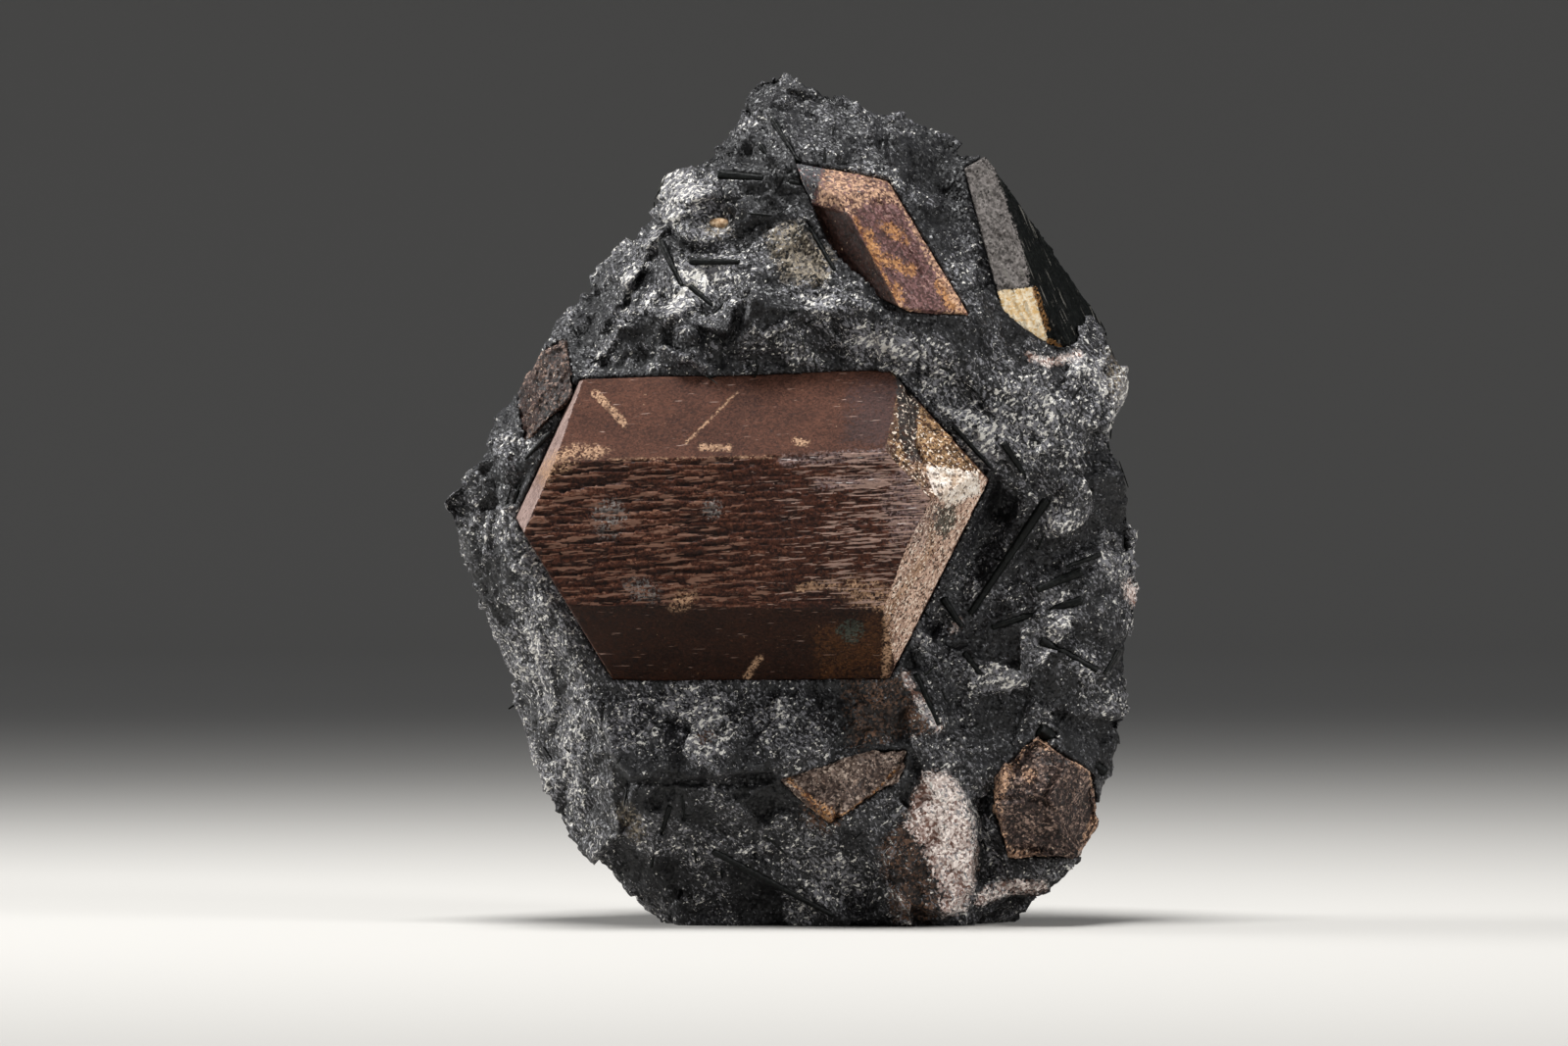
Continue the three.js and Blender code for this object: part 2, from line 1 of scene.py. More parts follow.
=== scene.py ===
"""Looks of a lorenzenite specimen: brown crystals and black needles in dark, speckled rock."""

import json
import logging
import math
from dataclasses import dataclass, field, replace
from enum import Enum

import bmesh
import bpy
import numpy as np
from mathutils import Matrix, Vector

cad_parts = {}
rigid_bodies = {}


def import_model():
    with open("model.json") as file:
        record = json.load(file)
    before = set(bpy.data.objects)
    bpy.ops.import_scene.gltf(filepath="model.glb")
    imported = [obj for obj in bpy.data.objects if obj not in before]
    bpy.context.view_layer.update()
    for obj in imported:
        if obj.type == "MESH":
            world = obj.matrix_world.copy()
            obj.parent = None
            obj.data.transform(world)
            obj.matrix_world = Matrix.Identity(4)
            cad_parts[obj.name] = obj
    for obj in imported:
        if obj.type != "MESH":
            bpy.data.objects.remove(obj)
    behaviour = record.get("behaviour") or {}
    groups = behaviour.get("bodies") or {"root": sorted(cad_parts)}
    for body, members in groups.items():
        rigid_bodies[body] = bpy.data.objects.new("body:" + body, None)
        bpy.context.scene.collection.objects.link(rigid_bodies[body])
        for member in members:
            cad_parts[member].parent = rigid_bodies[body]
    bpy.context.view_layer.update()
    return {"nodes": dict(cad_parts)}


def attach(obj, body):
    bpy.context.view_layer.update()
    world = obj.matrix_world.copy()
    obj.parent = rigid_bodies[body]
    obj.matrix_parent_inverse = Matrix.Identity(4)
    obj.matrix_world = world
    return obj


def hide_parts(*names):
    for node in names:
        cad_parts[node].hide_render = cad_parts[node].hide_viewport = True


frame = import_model()

LOG = logging.getLogger("specimen")
BODY = "root"
MM = 0.001
MERGE_DISTANCE = 1e-6
FLECK_EDGE = 0.06
CM2_PER_M2 = 1e4


class Pattern(Enum):
    """The forms that a layer of relief can take."""

    LUMPS = "rounded swellings"
    FACETS = "cells that each lean their own way, as a hackly break does"
    SHINGLES = "long cells that all lean the same way, as growth steps do"


@dataclass(frozen=True)
class ReliefLayer:
    """One size of relief, raised along the surface's normals.

    Attributes:
        pattern: Its form.
        across_mm: Its size across the axis.
        along_mm: Its size along the axis.
        height_mm: How high it stands.
        axis: The direction that it is drawn out along.
        mask: The point attribute that scales it, or an empty name.
        wavy: How far its cells are bent.
    """

    pattern: Pattern
    across_mm: float
    along_mm: float
    height_mm: float
    axis: tuple[float, float, float] = (1.0, 0.0, 0.0)
    mask: str = ""
    wavy: float = 0.0


@dataclass(frozen=True)
class Spot:
    """An oval patch, placed by the photograph's pixels.

    Attributes:
        across: The pixel column of its middle.
        down: The pixel row of its middle.
        half_length: Half of its length in pixels.
        half_width: Half of its width in pixels.
        turn_deg: How far its length turns clockwise from level.
        weight: How strong it is.
    """

    across: float
    down: float
    half_length: float
    half_width: float
    turn_deg: float = 0.0
    weight: float = 1.0

    def share(self, pixels: np.ndarray) -> np.ndarray:
        """Works out how deep each point is in the patch.

        Args:
            pixels: The pixel column and row of each point.

        Returns:
            For each point, 1 in the middle, 0.5 on the edge and 0 well outside.
        """
        turn = math.radians(self.turn_deg)
        away = pixels - (self.across, self.down)
        along = (away[:, 0] * math.cos(turn) + away[:, 1] * math.sin(turn)) / self.half_length
        aside = (away[:, 1] * math.cos(turn) - away[:, 0] * math.sin(turn)) / self.half_width
        return self.weight * np.clip(1.0 - 0.5 * np.hypot(along, aside), 0.0, 1.0)


@dataclass(frozen=True)
class Patch:
    """A patch with straight sides, placed by the photograph's pixels.

    Attributes:
        outline: The pixel columns and rows of its corners.
        edge_px: How far its edge takes to fade.
        weight: How strong it is.
    """

    outline: tuple[tuple[float, float], ...]
    edge_px: float = 6.0
    weight: float = 1.0

    def share(self, pixels: np.ndarray) -> np.ndarray:
        """Works out how deep each point is in the patch.

        Args:
            pixels: The pixel column and row of each point.

        Returns:
            For each point, 1 inside, 0.5 on the edge and 0 outside.
        """
        edge = line_distance(pixels, (*self.outline, self.outline[0]))
        depth = np.where(inside_outline(pixels, self.outline), edge, -edge)
        return self.weight * np.clip(0.5 + 0.5 * depth / self.edge_px, 0.0, 1.0)


@dataclass(frozen=True)
class Streak:
    """A patch along a line, placed by the photograph's pixels.

    Attributes:
        line: The pixel columns and rows that it runs through.
        half_width: Half of its width in pixels.
        weight: How strong it is.
    """

    line: tuple[tuple[float, float], ...]
    half_width: float
    weight: float = 1.0

    def share(self, pixels: np.ndarray) -> np.ndarray:
        """Works out how deep each point is in the streak.

        Args:
            pixels: The pixel column and row of each point.

        Returns:
            For each point, 1 on the line, 0.5 at the half width and 0 well outside.
        """
        away = line_distance(pixels, self.line)
        return self.weight * np.clip(1.0 - 0.5 * away / self.half_width, 0.0, 1.0)


@dataclass(frozen=True)
class Facet:
    """A flat break in the rock, placed by the photograph's pixels.

    Attributes:
        outline: The pixel columns and rows of its corners.
        up_deg: How far it leans to face up, beyond the surface that it is broken from.
        left_deg: How far it leans to face left.
        lift_mm: How far it stands forward.
    """

    outline: tuple[tuple[float, float], ...]
    up_deg: float = 0.0
    left_deg: float = 0.0
    lift_mm: float = 0.0


@dataclass(frozen=True)
class Fold:
    """A ridge or a groove along a line, placed by the photograph's pixels.

    Attributes:
        line: The pixel columns and rows that it runs through.
        half_width: Half of its width in pixels.
        height_mm: How far it stands forward.
        pale: How much paler its line is painted, a painted highlight on the ridge.
    """

    line: tuple[tuple[float, float], ...]
    half_width: float
    height_mm: float
    pale: float = 0.0


@dataclass(frozen=True)
class Photograph:
    """Where the photograph's pixels lie in the frame.

    The specimen's height gives the scale, which holds in the plane of the matrix's rim.
    """

    width_px: int = 1600
    height_px: int = 1067
    top_px: float = 75.0
    foot_px: float = 942.0
    axis_px: float = 810.0
    specimen_height: float = 0.095
    eye_distance: float = 1.0
    rim_y: float = -0.0045
    sensor_mm: float = 36.0

    @property
    def step(self) -> float:
        """Metres for each pixel in the plane of the rim."""
        return self.specimen_height / (self.foot_px - self.top_px)

    @property
    def eye(self) -> Vector:
        """The place of the camera, level with the photograph's middle row."""
        across = (self.width_px / 2 - self.axis_px) * self.step
        up = (self.foot_px - self.height_px / 2) * self.step
        return Vector((across, self.rim_y - self.eye_distance, up))

    @property
    def lens_mm(self) -> float:
        """The focal length that gives the photograph's scale at the rim."""
        return self.sensor_mm * self.eye_distance / (self.width_px * self.step)

    def pixels(self, points: np.ndarray) -> np.ndarray:
        """Finds where points of the frame are in the photograph.

        Args:
            points: Points in metres, one in each row.

        Returns:
            The pixel column and row of each point.
        """
        eye = np.array(self.eye)
        scale = self.eye_distance / (points[:, 1] - eye[1]) / self.step
        across = self.width_px / 2 + (points[:, 0] - eye[0]) * scale
        down = self.height_px / 2 - (points[:, 2] - eye[2]) * scale
        return np.stack([across, down], axis=1)


PHOTO = Photograph()


def smooth_step(values: np.ndarray, low: float, high: float) -> np.ndarray:
    """Rises from 0 at low to 1 at high, level at both ends.

    Args:
        values: The values to read.
        low: Where the rise starts.
        high: Where it ends.

    Returns:
        A share from 0 to 1 for each value.
    """
    share = np.clip((values - low) / (high - low), 0.0, 1.0)
    return share * share * (3.0 - 2.0 * share)


def linear(hex_colour: str) -> tuple[float, float, float, float]:
    """Turns an sRGB hex value to a linear colour.

    Args:
        hex_colour: Six hex digits.

    Returns:
        Red, green, blue and full alpha.
    """
    parts = [int(hex_colour[i:i + 2], 16) / 255 for i in (0, 2, 4)]
    red, green, blue = (p / 12.92 if p <= 0.04045 else ((p + 0.055) / 1.055) ** 2.4 for p in parts)
    return red, green, blue, 1.0


def add_node(
    tree: bpy.types.NodeTree,
    kind: str,
    inputs: dict[str | int, object] | None = None,
    **settings: object,
) -> bpy.types.Node:
    """Adds a node with its settings, input values and links.

    Args:
        tree: The node tree that gets the node.
        kind: The node's type.
        inputs: Input names or numbers, each with a value or with the socket to link from.
        **settings: The node's own properties.

    Returns:
        The new node.
    """
    node = tree.nodes.new(kind)
    for name, value in settings.items():
        setattr(node, name, value)
    for name, value in (inputs or {}).items():
        if isinstance(value, bpy.types.NodeSocket):
            tree.links.new(value, node.inputs[name])
        else:
            node.inputs[name].default_value = value
    return node


def drawn_out(
    tree: bpy.types.NodeTree,
    place: bpy.types.NodeSocket,
    axis: tuple[float, float, float],
    across: float,
    along: float,
) -> bpy.types.NodeSocket:
    """Adds the nodes that measure a place in pattern sizes, drawn out along an axis.

    Args:
        tree: The node tree that gets them.
        place: The socket with the place in metres.
        axis: The direction of the drawing out.
        across: The pattern's size across the axis.
        along: Its size along the axis.

    Returns:
        The socket with the measured place.
    """
    inputs = {0: place, 1: axis}
    reach = add_node(tree, "ShaderNodeVectorMath", inputs, operation="DOT_PRODUCT").outputs["Value"]
    inputs = {0: reach, 1: 1 / along - 1 / across}
    stretch = add_node(tree, "ShaderNodeMath", inputs, operation="MULTIPLY").outputs[0]
    inputs = {0: axis, "Scale": stretch}
    shift = add_node(tree, "ShaderNodeVectorMath", inputs, operation="SCALE").outputs[0]
    inputs = {0: place, 1: (1 / across,) * 3, 2: shift}
    return add_node(tree, "ShaderNodeVectorMath", inputs, operation="MULTIPLY_ADD").outputs[0]


def activate(piece: bpy.types.Object) -> None:
    """Selects one object alone and makes it the active one.

    Args:
        piece: The object to work on.
    """
    bpy.ops.object.select_all(action="DESELECT")
    piece.select_set(True)
    bpy.context.view_layer.objects.active = piece


def apply_modifier(piece: bpy.types.Object, kind: str, **settings: object) -> None:
    """Adds a modifier and applies it.

    Args:
        piece: The object that is changed.
        kind: The modifier's type.
        **settings: The modifier's own properties.
    """
    activate(piece)
    modifier = piece.modifiers.new(kind.title(), kind)
    for name, value in settings.items():
        setattr(modifier, name, value)
    bpy.ops.object.modifier_apply(modifier=modifier.name)


def triangle_count(piece: bpy.types.Object) -> int:
    """Counts the triangles that a piece's faces make."""
    return sum(len(polygon.vertices) - 2 for polygon in piece.data.polygons)


def vertex_values(piece: bpy.types.Object, normals: bool = False) -> np.ndarray:
    """Reads a piece's vertices.

    Args:
        piece: The object to read.
        normals: Whether to read the normals in place of the positions.

    Returns:
        A row of three numbers for each vertex.
    """
    values = np.zeros(len(piece.data.vertices) * 3, np.float32)
    if normals:
        piece.data.vertex_normals.foreach_get("vector", values)
    else:
        piece.data.vertices.foreach_get("co", values)
    return values.reshape(-1, 3).astype(float)


def store(piece: bpy.types.Object, name: str, values: np.ndarray) -> None:
    """Keeps one number for each vertex as a point attribute.

    Args:
        piece: The object that gets the attribute.
        name: The attribute's name.
        values: A number for each vertex.
    """
    attribute = piece.data.attributes.new(name, "FLOAT", "POINT")
    attribute.data.foreach_set("value", values.astype(np.float32))


def line_distance(pixels: np.ndarray, line: tuple[tuple[float, float], ...]) -> np.ndarray:
    """Measures how far points are from a line of straight pieces.

    Args:
        pixels: The pixel column and row of each point.
        line: The corners of the line.

    Returns:
        The distance of each point in pixels.
    """
    nearest = np.full(len(pixels), np.inf)
    for start, end in zip(line, line[1:]):
        start, end = np.array(start), np.array(end)
        along = end - start
        share = np.clip((pixels - start) @ along / (along @ along), 0.0, 1.0)
        away = pixels - start - share[:, None] * along
        nearest = np.minimum(nearest, np.hypot(away[:, 0], away[:, 1]))
    return nearest


def inside_outline(pixels: np.ndarray, outline: tuple[tuple[float, float], ...]) -> np.ndarray:
    """Finds the points inside a closed outline.

    Args:
        pixels: The pixel column and row of each point.
        outline: The corners of the outline.

    Returns:
        Whether each point is inside.
    """
    inside = np.zeros(len(pixels), bool)
    across, down = pixels[:, 0], pixels[:, 1]
    for (x0, y0), (x1, y1) in zip(outline, (*outline[1:], outline[0])):
        if y0 == y1:
            continue
        crosses = (down > min(y0, y1)) & (down <= max(y0, y1))
        inside ^= crosses & (across < x0 + (down - y0) * (x1 - x0) / (y1 - y0))
    return inside


@dataclass(frozen=True)
class Relief:
    """Layers of relief, worked out by a node tree and applied to a mesh.

    Attributes:
        layers: The layers, which are added up.
        closing_mm: How far a wall next to a neighbour moves to close the gap to it.
        near_mm: How near a wall is to its neighbour.
        free_mm: How far from a neighbour the relief has its full height.
        form_free_mm: How far from a neighbour the placed forms have their full height.
        patch_mm: The size of the patches that the finish makes lighter or darker.
        wander_mm: The size of the wander in the edges of the finish's tints.
        shown_mm: The most height or depth that the finish takes account of.
    """

    layers: tuple[ReliefLayer, ...]
    closing_mm: float = 0.36
    near_mm: float = 0.34
    free_mm: float = 1.4
    form_free_mm: float = 2.6
    patch_mm: float = 7.0
    wander_mm: float = 1.3
    shown_mm: float = 0.9

    def height(self, tree: bpy.types.NodeTree, layer: ReliefLayer) -> bpy.types.NodeSocket:
        """Adds the nodes of one layer.

        Args:
            tree: The node tree that gets them.
            layer: The layer.

        Returns:
            The socket with its height in metres.
        """
        place = add_node(tree, "GeometryNodeInputPosition").outputs[0]
        scaled = drawn_out(tree, place, layer.axis, layer.across_mm * MM, layer.along_mm * MM)
        if layer.wavy:
            waves = add_node(tree, "ShaderNodeTexNoise", {"Vector": scaled, "Scale": 0.7, "Detail": 1.0})
            inputs = {0: waves.outputs["Color"], 1: (layer.wavy,) * 3, 2: scaled}
            scaled = add_node(tree, "ShaderNodeVectorMath", inputs, operation="MULTIPLY_ADD").outputs[0]
        if layer.pattern is Pattern.LUMPS:
            noise = add_node(tree, "ShaderNodeTexNoise", {"Vector": scaled, "Scale": 1.0, "Detail": 3.0})
            inputs = {0: noise.outputs[0], 1: 0.5}
            form = add_node(tree, "ShaderNodeMath", inputs, operation="SUBTRACT").outputs[0]
        else:
            cells = add_node(tree, "ShaderNodeTexVoronoi", {"Vector": scaled, "Scale": 1.0})
            inputs = {0: scaled, 1: cells.outputs["Position"]}
            inside = add_node(tree, "ShaderNodeVectorMath", inputs, operation="SUBTRACT").outputs[0]
            lean = (0.0, 0.0, 1.0)
            if layer.pattern is Pattern.FACETS:
                inputs = {0: cells.outputs["Color"], 1: (0.5, 0.5, 0.5)}
                lean = add_node(tree, "ShaderNodeVectorMath", inputs, operation="SUBTRACT").outputs[0]
            inputs = {0: inside, 1: lean}
            form = add_node(tree, "ShaderNodeVectorMath", inputs, operation="DOT_PRODUCT").outputs["Value"]
        inputs = {0: form, 1: layer.height_mm * MM}
        height = add_node(tree, "ShaderNodeMath", inputs, operation="MULTIPLY").outputs[0]
        if layer.mask:
            mask = add_node(tree, "GeometryNodeInputNamedAttribute", {"Name": layer.mask}, data_type="FLOAT")
            inputs = {0: height, 1: mask.outputs["Attribute"]}
            height = add_node(tree, "ShaderNodeMath", inputs, operation="MULTIPLY").outputs[0]
        return height

    def closed(
        self,
        tree: bpy.types.NodeTree,
        height: bpy.types.NodeSocket,
        form: bpy.types.NodeSocket,
        neighbours: list[bpy.types.Object],
    ) -> tuple[bpy.types.NodeSocket, bpy.types.NodeSocket]:
        """Adds the nodes that calm the relief next to other pieces and close the gap to them.

        Args:
            tree: The node tree that gets them.
            height: The relief's height.
            form: The placed forms' reach.
            neighbours: The pieces that the mesh touches.

        Returns:
            The sockets with the changed height and reach.
        """
        joined = add_node(tree, "GeometryNodeJoinGeometry")
        for neighbour in neighbours:
            info = add_node(tree, "GeometryNodeObjectInfo", {"Object": neighbour})
            tree.links.new(info.outputs["Geometry"], joined.inputs[0])
        near = add_node(tree, "GeometryNodeProximity", {0: joined.outputs[0]}).outputs["Distance"]
        spans = (
            (self.near_mm, self.free_mm, 0.0, 1.0),
            (self.near_mm, 2 * self.near_mm, self.closing_mm * MM, 0.0),
            (self.near_mm, self.form_free_mm, 0.0, 1.0),
        )
        free, closing, form_free = (
            add_node(
                tree,
                "ShaderNodeMapRange",
                {"Value": near, 1: low * MM, 2: high * MM, 3: first, 4: last},
                interpolation_type="SMOOTHSTEP",
            ).outputs[0]
            for low, high, first, last in spans
        )
        inputs = {0: height, 1: free, 2: closing}
        calmed = add_node(tree, "ShaderNodeMath", inputs, operation="MULTIPLY_ADD").outputs[0]
        inputs = {0: form, 1: form_free}
        return calmed, add_node(tree, "ShaderNodeMath", inputs, operation="MULTIPLY").outputs[0]

    def carve(self, piece: bpy.types.Object, neighbours: list[bpy.types.Object]) -> None:
        """Raises the relief on a piece and keeps its height in mm, its patches and its wander as attributes.

        Args:
            piece: The piece to change.
            neighbours: The pieces that it touches, if its gaps to them are to close.
        """
        tree = bpy.data.node_groups.new("relief", "GeometryNodeTree")
        for way in ("INPUT", "OUTPUT"):
            tree.interface.new_socket("Geometry", in_out=way, socket_type="NodeSocketGeometry")
        given = add_node(tree, "NodeGroupInput").outputs[0]
        total = None
        for layer in self.layers:
            height = self.height(tree, layer)
            if total is None:
                total = height
            else:
                total = add_node(tree, "ShaderNodeMath", {0: total, 1: height}, operation="ADD").outputs[0]
        inputs = {0: total, 1: 1 / MM}
        risen = add_node(tree, "ShaderNodeMath", inputs, operation="MULTIPLY").outputs[0]
        inputs = {0: risen, 1: -self.shown_mm, 2: self.shown_mm}
        values = {"relief": add_node(tree, "ShaderNodeClamp", inputs).outputs[0]}
        place = add_node(tree, "GeometryNodeInputPosition").outputs[0]
        for name, size in (("patch", self.patch_mm), ("wander", self.wander_mm)):
            inputs = {"Vector": place, "Scale": 1 / (size * MM), "Detail": 4.0, "Roughness": 0.6}
            noise = add_node(tree, "ShaderNodeTexNoise", inputs).outputs[0]
            inputs = {0: noise, 1: 0.5}
            values[name] = add_node(tree, "ShaderNodeMath", inputs, operation="SUBTRACT").outputs[0]
        kept = given
        for name, value in values.items():
            inputs = {"Geometry": kept, "Name": name, "Value": value}
            kept = add_node(
                tree, "GeometryNodeStoreNamedAttribute", inputs, data_type="FLOAT", domain="POINT"
            ).outputs[0]
        inputs = {"Name": "form"}
        form = add_node(tree, "GeometryNodeInputNamedAttribute", inputs, data_type="FLOAT").outputs[0]
        if neighbours:
            total, form = self.closed(tree, total, form, neighbours)
        normal = add_node(tree, "GeometryNodeInputNormal").outputs[0]
        inputs = {0: normal, "Scale": total}
        raised = add_node(tree, "ShaderNodeVectorMath", inputs, operation="SCALE").outputs[0]
        inputs = {0: (0.0, -MM, 0.0), "Scale": form}
        placed = add_node(tree, "ShaderNodeVectorMath", inputs, operation="SCALE").outputs[0]
        inputs = {0: raised, 1: placed}
        offset = add_node(tree, "ShaderNodeVectorMath", inputs, operation="ADD").outputs[0]
        inputs = {"Geometry": kept, "Offset": offset}
        moved = add_node(tree, "GeometryNodeSetPosition", inputs).outputs[0]
        add_node(tree, "NodeGroupOutput", {0: moved})
        apply_modifier(piece, "NODES", node_group=tree)
        bpy.data.node_groups.remove(tree)


@dataclass(frozen=True)
class Tint:
    """A colour that takes over where a point attribute is high, grain by grain.

    Attributes:
        mask: The attribute's name.
        dark: The colour of its dark grains.
        light: The colour of its light grains.
        mixed: How far the grains of both sides mix at its edge.
        soft: How gradual the edge is.
        strength: How fully it covers.
        roughness: The roughness under it.
    """

    mask: str
    dark: str
    light: str
    mixed: float = 0.5
    soft: float = 0.1
    strength: float = 1.0
    roughness: float = 0.7


@dataclass(frozen=True)
class Flecks:
    """Scattered slivers of another colour, thicker where the surface is pale.

    Attributes:
        size_mm: How far apart they are.
        start: The value of the noise that they start at: lower gives more of them.
        colour: Their colour.
        gains: Attributes that give more of them, each with its gain.
        drawn: How many times longer they are along the axis.
        axis: The direction that they lie along.
        roughness: Their roughness.
        strength: How fully they cover.
    """

    size_mm: float
    start: float
    colour: str
    gains: tuple[tuple[str, float], ...] = ()
    drawn: float = 1.0
    axis: tuple[float, float, float] = (0.6, 0.0, -0.8)
    roughness: float = 0.4
    strength: float = 1.0


@dataclass(frozen=True)
class MineralFinish:
    """A broken or grown mineral surface: grains of several shades, each with its own small lean.

    Attributes:
        name: The material's name.
        shades: The grains' colours from dark to light, each with its place from 0 to 1.
        grain_mm: The size of a grain.
        grain_gain: How much the grains' shades differ.
        patch_gain: How much lighter and darker patches differ.
        relief_gain: How much a millimetre of relief lightens the surface: a painted highlight on raised
            relief and painted shade in its hollows.
        lean: How far a grain's face leans from the surface.
        roughness: The roughness of the smoothest and the dullest grains.
        bump_mm: The height of the finest roughness.
        bump_size_mm: The size of the finest roughness.
        tints: The colours that take over in places.
        flecks: The scattered slivers.
        ior: The index of refraction.
        specular: How strongly it mirrors, with 0.5 for a clean face.
        axis: The direction that the grains are drawn out along.
        drawn: How many times longer the grains are along it.
    """

    name: str
    shades: tuple[tuple[float, str], ...]
    grain_mm: float
    grain_gain: float = 0.6
    patch_gain: float = 0.6
    relief_gain: float = 0.0
    lean: float = 0.5
    roughness: tuple[float, float] = (0.35, 0.8)
    bump_mm: float = 0.03
    bump_size_mm: float = 0.2
    tints: tuple[Tint, ...] = ()
    flecks: tuple[Flecks, ...] = ()
    ior: float = 1.5
    specular: float = 0.35
    axis: tuple[float, float, float] = (1.0, 0.0, 0.0)
    drawn: float = 1.0

    def ramp(
        self,
        tree: bpy.types.NodeTree,
        value: bpy.types.NodeSocket,
        stops: tuple[tuple[float, str], ...],
    ) -> bpy.types.NodeSocket:
        """Adds a colour ramp.

        Args:
            tree: The material's node tree.
            value: The socket that drives it.
            stops: The places from 0 to 1, each with a hex colour.

        Returns:
            The socket with the colour.
        """
        node = add_node(tree, "ShaderNodeValToRGB", {0: value})
        elements = node.color_ramp.elements
        while len(elements) < len(stops):
            elements.new(1.0)
        for element, (place, colour) in zip(elements, stops):
            element.position = place
            element.color = linear(colour)
        return node.outputs[0]

    def grains(self, tree: bpy.types.NodeTree, place: bpy.types.NodeSocket) -> bpy.types.Node:
        """Adds the cells that the grains are: slightly warped, and drawn out along the axis.

        Args:
            tree: The material's node tree.
            place: The socket with the object's coordinates.

        Returns:
            The node of the cells.
        """
        scaled = drawn_out(tree, place, self.axis, self.grain_mm * MM, self.drawn * self.grain_mm * MM)
        warp = add_node(tree, "ShaderNodeTexNoise", {"Vector": scaled, "Scale": 1.3, "Detail": 1.0})
        inputs = {0: warp.outputs["Color"], 1: (0.7, 0.7, 0.7), 2: scaled}
        warped = add_node(tree, "ShaderNodeVectorMath", inputs, operation="MULTIPLY_ADD").outputs[0]
        return add_node(tree, "ShaderNodeTexVoronoi", {"Vector": warped, "Scale": 1.0})

    def summed(
        self,
        tree: bpy.types.NodeTree,
        start: bpy.types.NodeSocket,
        gains: dict[str, float],
    ) -> bpy.types.NodeSocket:
        """Adds attributes to a value, each with its own gain.

        Args:
            tree: The material's node tree.
            start: The socket with the value.
            gains: The gain of each attribute.

        Returns:
            The socket with the sum.
        """
        for name, gain in gains.items():
            given = add_node(tree, "ShaderNodeAttribute", attribute_name=name).outputs["Fac"]
            inputs = {0: given, 1: gain, 2: start}
            start = add_node(tree, "ShaderNodeMath", inputs, operation="MULTIPLY_ADD").outputs[0]
        return start

    def fleck_share(
        self,
        tree: bpy.types.NodeTree,
        place: bpy.types.NodeSocket,
        flecks: Flecks,
    ) -> bpy.types.NodeSocket:
        """Adds the mask of scattered slivers.

        Args:
            tree: The material's node tree.
            place: The socket with the object's coordinates.
            flecks: The slivers.

        Returns:
            The socket with how fully they cover.
        """
        size = flecks.size_mm * MM
        scaled = drawn_out(tree, place, flecks.axis, size, flecks.drawn * size)
        inputs = {"Vector": scaled, "Scale": 1.0, "Detail": 2.0, "Roughness": 0.6}
        noise = add_node(tree, "ShaderNodeTexNoise", inputs).outputs[0]
        value = self.summed(tree, noise, dict(flecks.gains))
        inputs = {"Value": value, 1: flecks.start, 2: flecks.start + FLECK_EDGE, 3: 0.0, 4: flecks.strength}
        return add_node(tree, "ShaderNodeMapRange", inputs, interpolation_type="SMOOTHSTEP").outputs[0]

    def make(self) -> bpy.types.Material:
        """Makes the material.

        Returns:
            The material.
        """
        material = bpy.data.materials.new(self.name)
        material.use_nodes = True
        tree = material.node_tree
        tree.nodes.clear()
        place = add_node(tree, "ShaderNodeTexCoord").outputs["Object"]
        cells = self.grains(tree, place)
        own, sheen, chance = add_node(tree, "ShaderNodeSeparateColor", {0: cells.outputs["Color"]}).outputs
        inputs = {0: own, 1: self.grain_gain, 2: 0.5 - 0.5 * self.grain_gain}
        start = add_node(tree, "ShaderNodeMath", inputs, operation="MULTIPLY_ADD").outputs[0]
        # The relief term is painted light: raised relief is painted lighter and hollows darker.
        shade = self.summed(tree, start, {"patch": self.patch_gain, "relief": self.relief_gain})
        colour = self.ramp(tree, shade, self.shades)
        smooth, dull = self.roughness
        inputs = {"Value": sheen, 3: smooth, 4: dull}
        roughness = add_node(tree, "ShaderNodeMapRange", inputs).outputs[0]
        overlays = []
        for tint in self.tints:
            inputs = {0: chance, 1: 2.0 * tint.mixed, 2: 1.0 - tint.mixed}
            gain = add_node(tree, "ShaderNodeMath", inputs, operation="MULTIPLY_ADD").outputs[0]
            mask = add_node(tree, "ShaderNodeAttribute", attribute_name=tint.mask).outputs["Fac"]
            edge = add_node(tree, "ShaderNodeMath", {0: mask, 1: gain}, operation="MULTIPLY").outputs[0]
            inputs = {"Value": edge, 1: 0.5 - tint.soft, 2: 0.5 + tint.soft, 3: 0.0, 4: tint.strength}
            share = add_node(tree, "ShaderNodeMapRange", inputs, interpolation_type="SMOOTHSTEP").outputs[0]
            over = self.ramp(tree, shade, ((0.2, tint.dark), (0.8, tint.light)))
            overlays.append((share, over, tint.roughness))
        for flecks in self.flecks:
            share = self.fleck_share(tree, place, flecks)
            overlays.append((share, linear(flecks.colour), flecks.roughness))
        for share, over, dullness in overlays:
            inputs = {"Factor": share, 6: colour, 7: over}
            colour = add_node(tree, "ShaderNodeMix", inputs, data_type="RGBA").outputs[2]
            inputs = {"Factor": share, 2: roughness, 3: dullness}
            roughness = add_node(tree, "ShaderNodeMix", inputs, data_type="FLOAT").outputs[0]
        inputs = {0: cells.outputs["Color"], 1: (0.5, 0.5, 0.5)}
        centred = add_node(tree, "ShaderNodeVectorMath", inputs, operation="SUBTRACT").outputs[0]
        flat = add_node(tree, "ShaderNodeNewGeometry").outputs["Normal"]
        inputs = {0: centred, 1: (self.lean,) * 3, 2: flat}
        leaning = add_node(tree, "ShaderNodeVectorMath", inputs, operation="MULTIPLY_ADD").outputs[0]
        facing = add_node(tree, "ShaderNodeVectorMath", {0: leaning}, operation="NORMALIZE").outputs[0]
        inputs = {"Vector": place, "Scale": 1 / (self.bump_size_mm * MM), "Detail": 1.0}
        fine = add_node(tree, "ShaderNodeTexNoise", inputs).outputs[0]
        inputs = {"Height": fine, "Distance": self.bump_mm * MM, "Normal": facing}
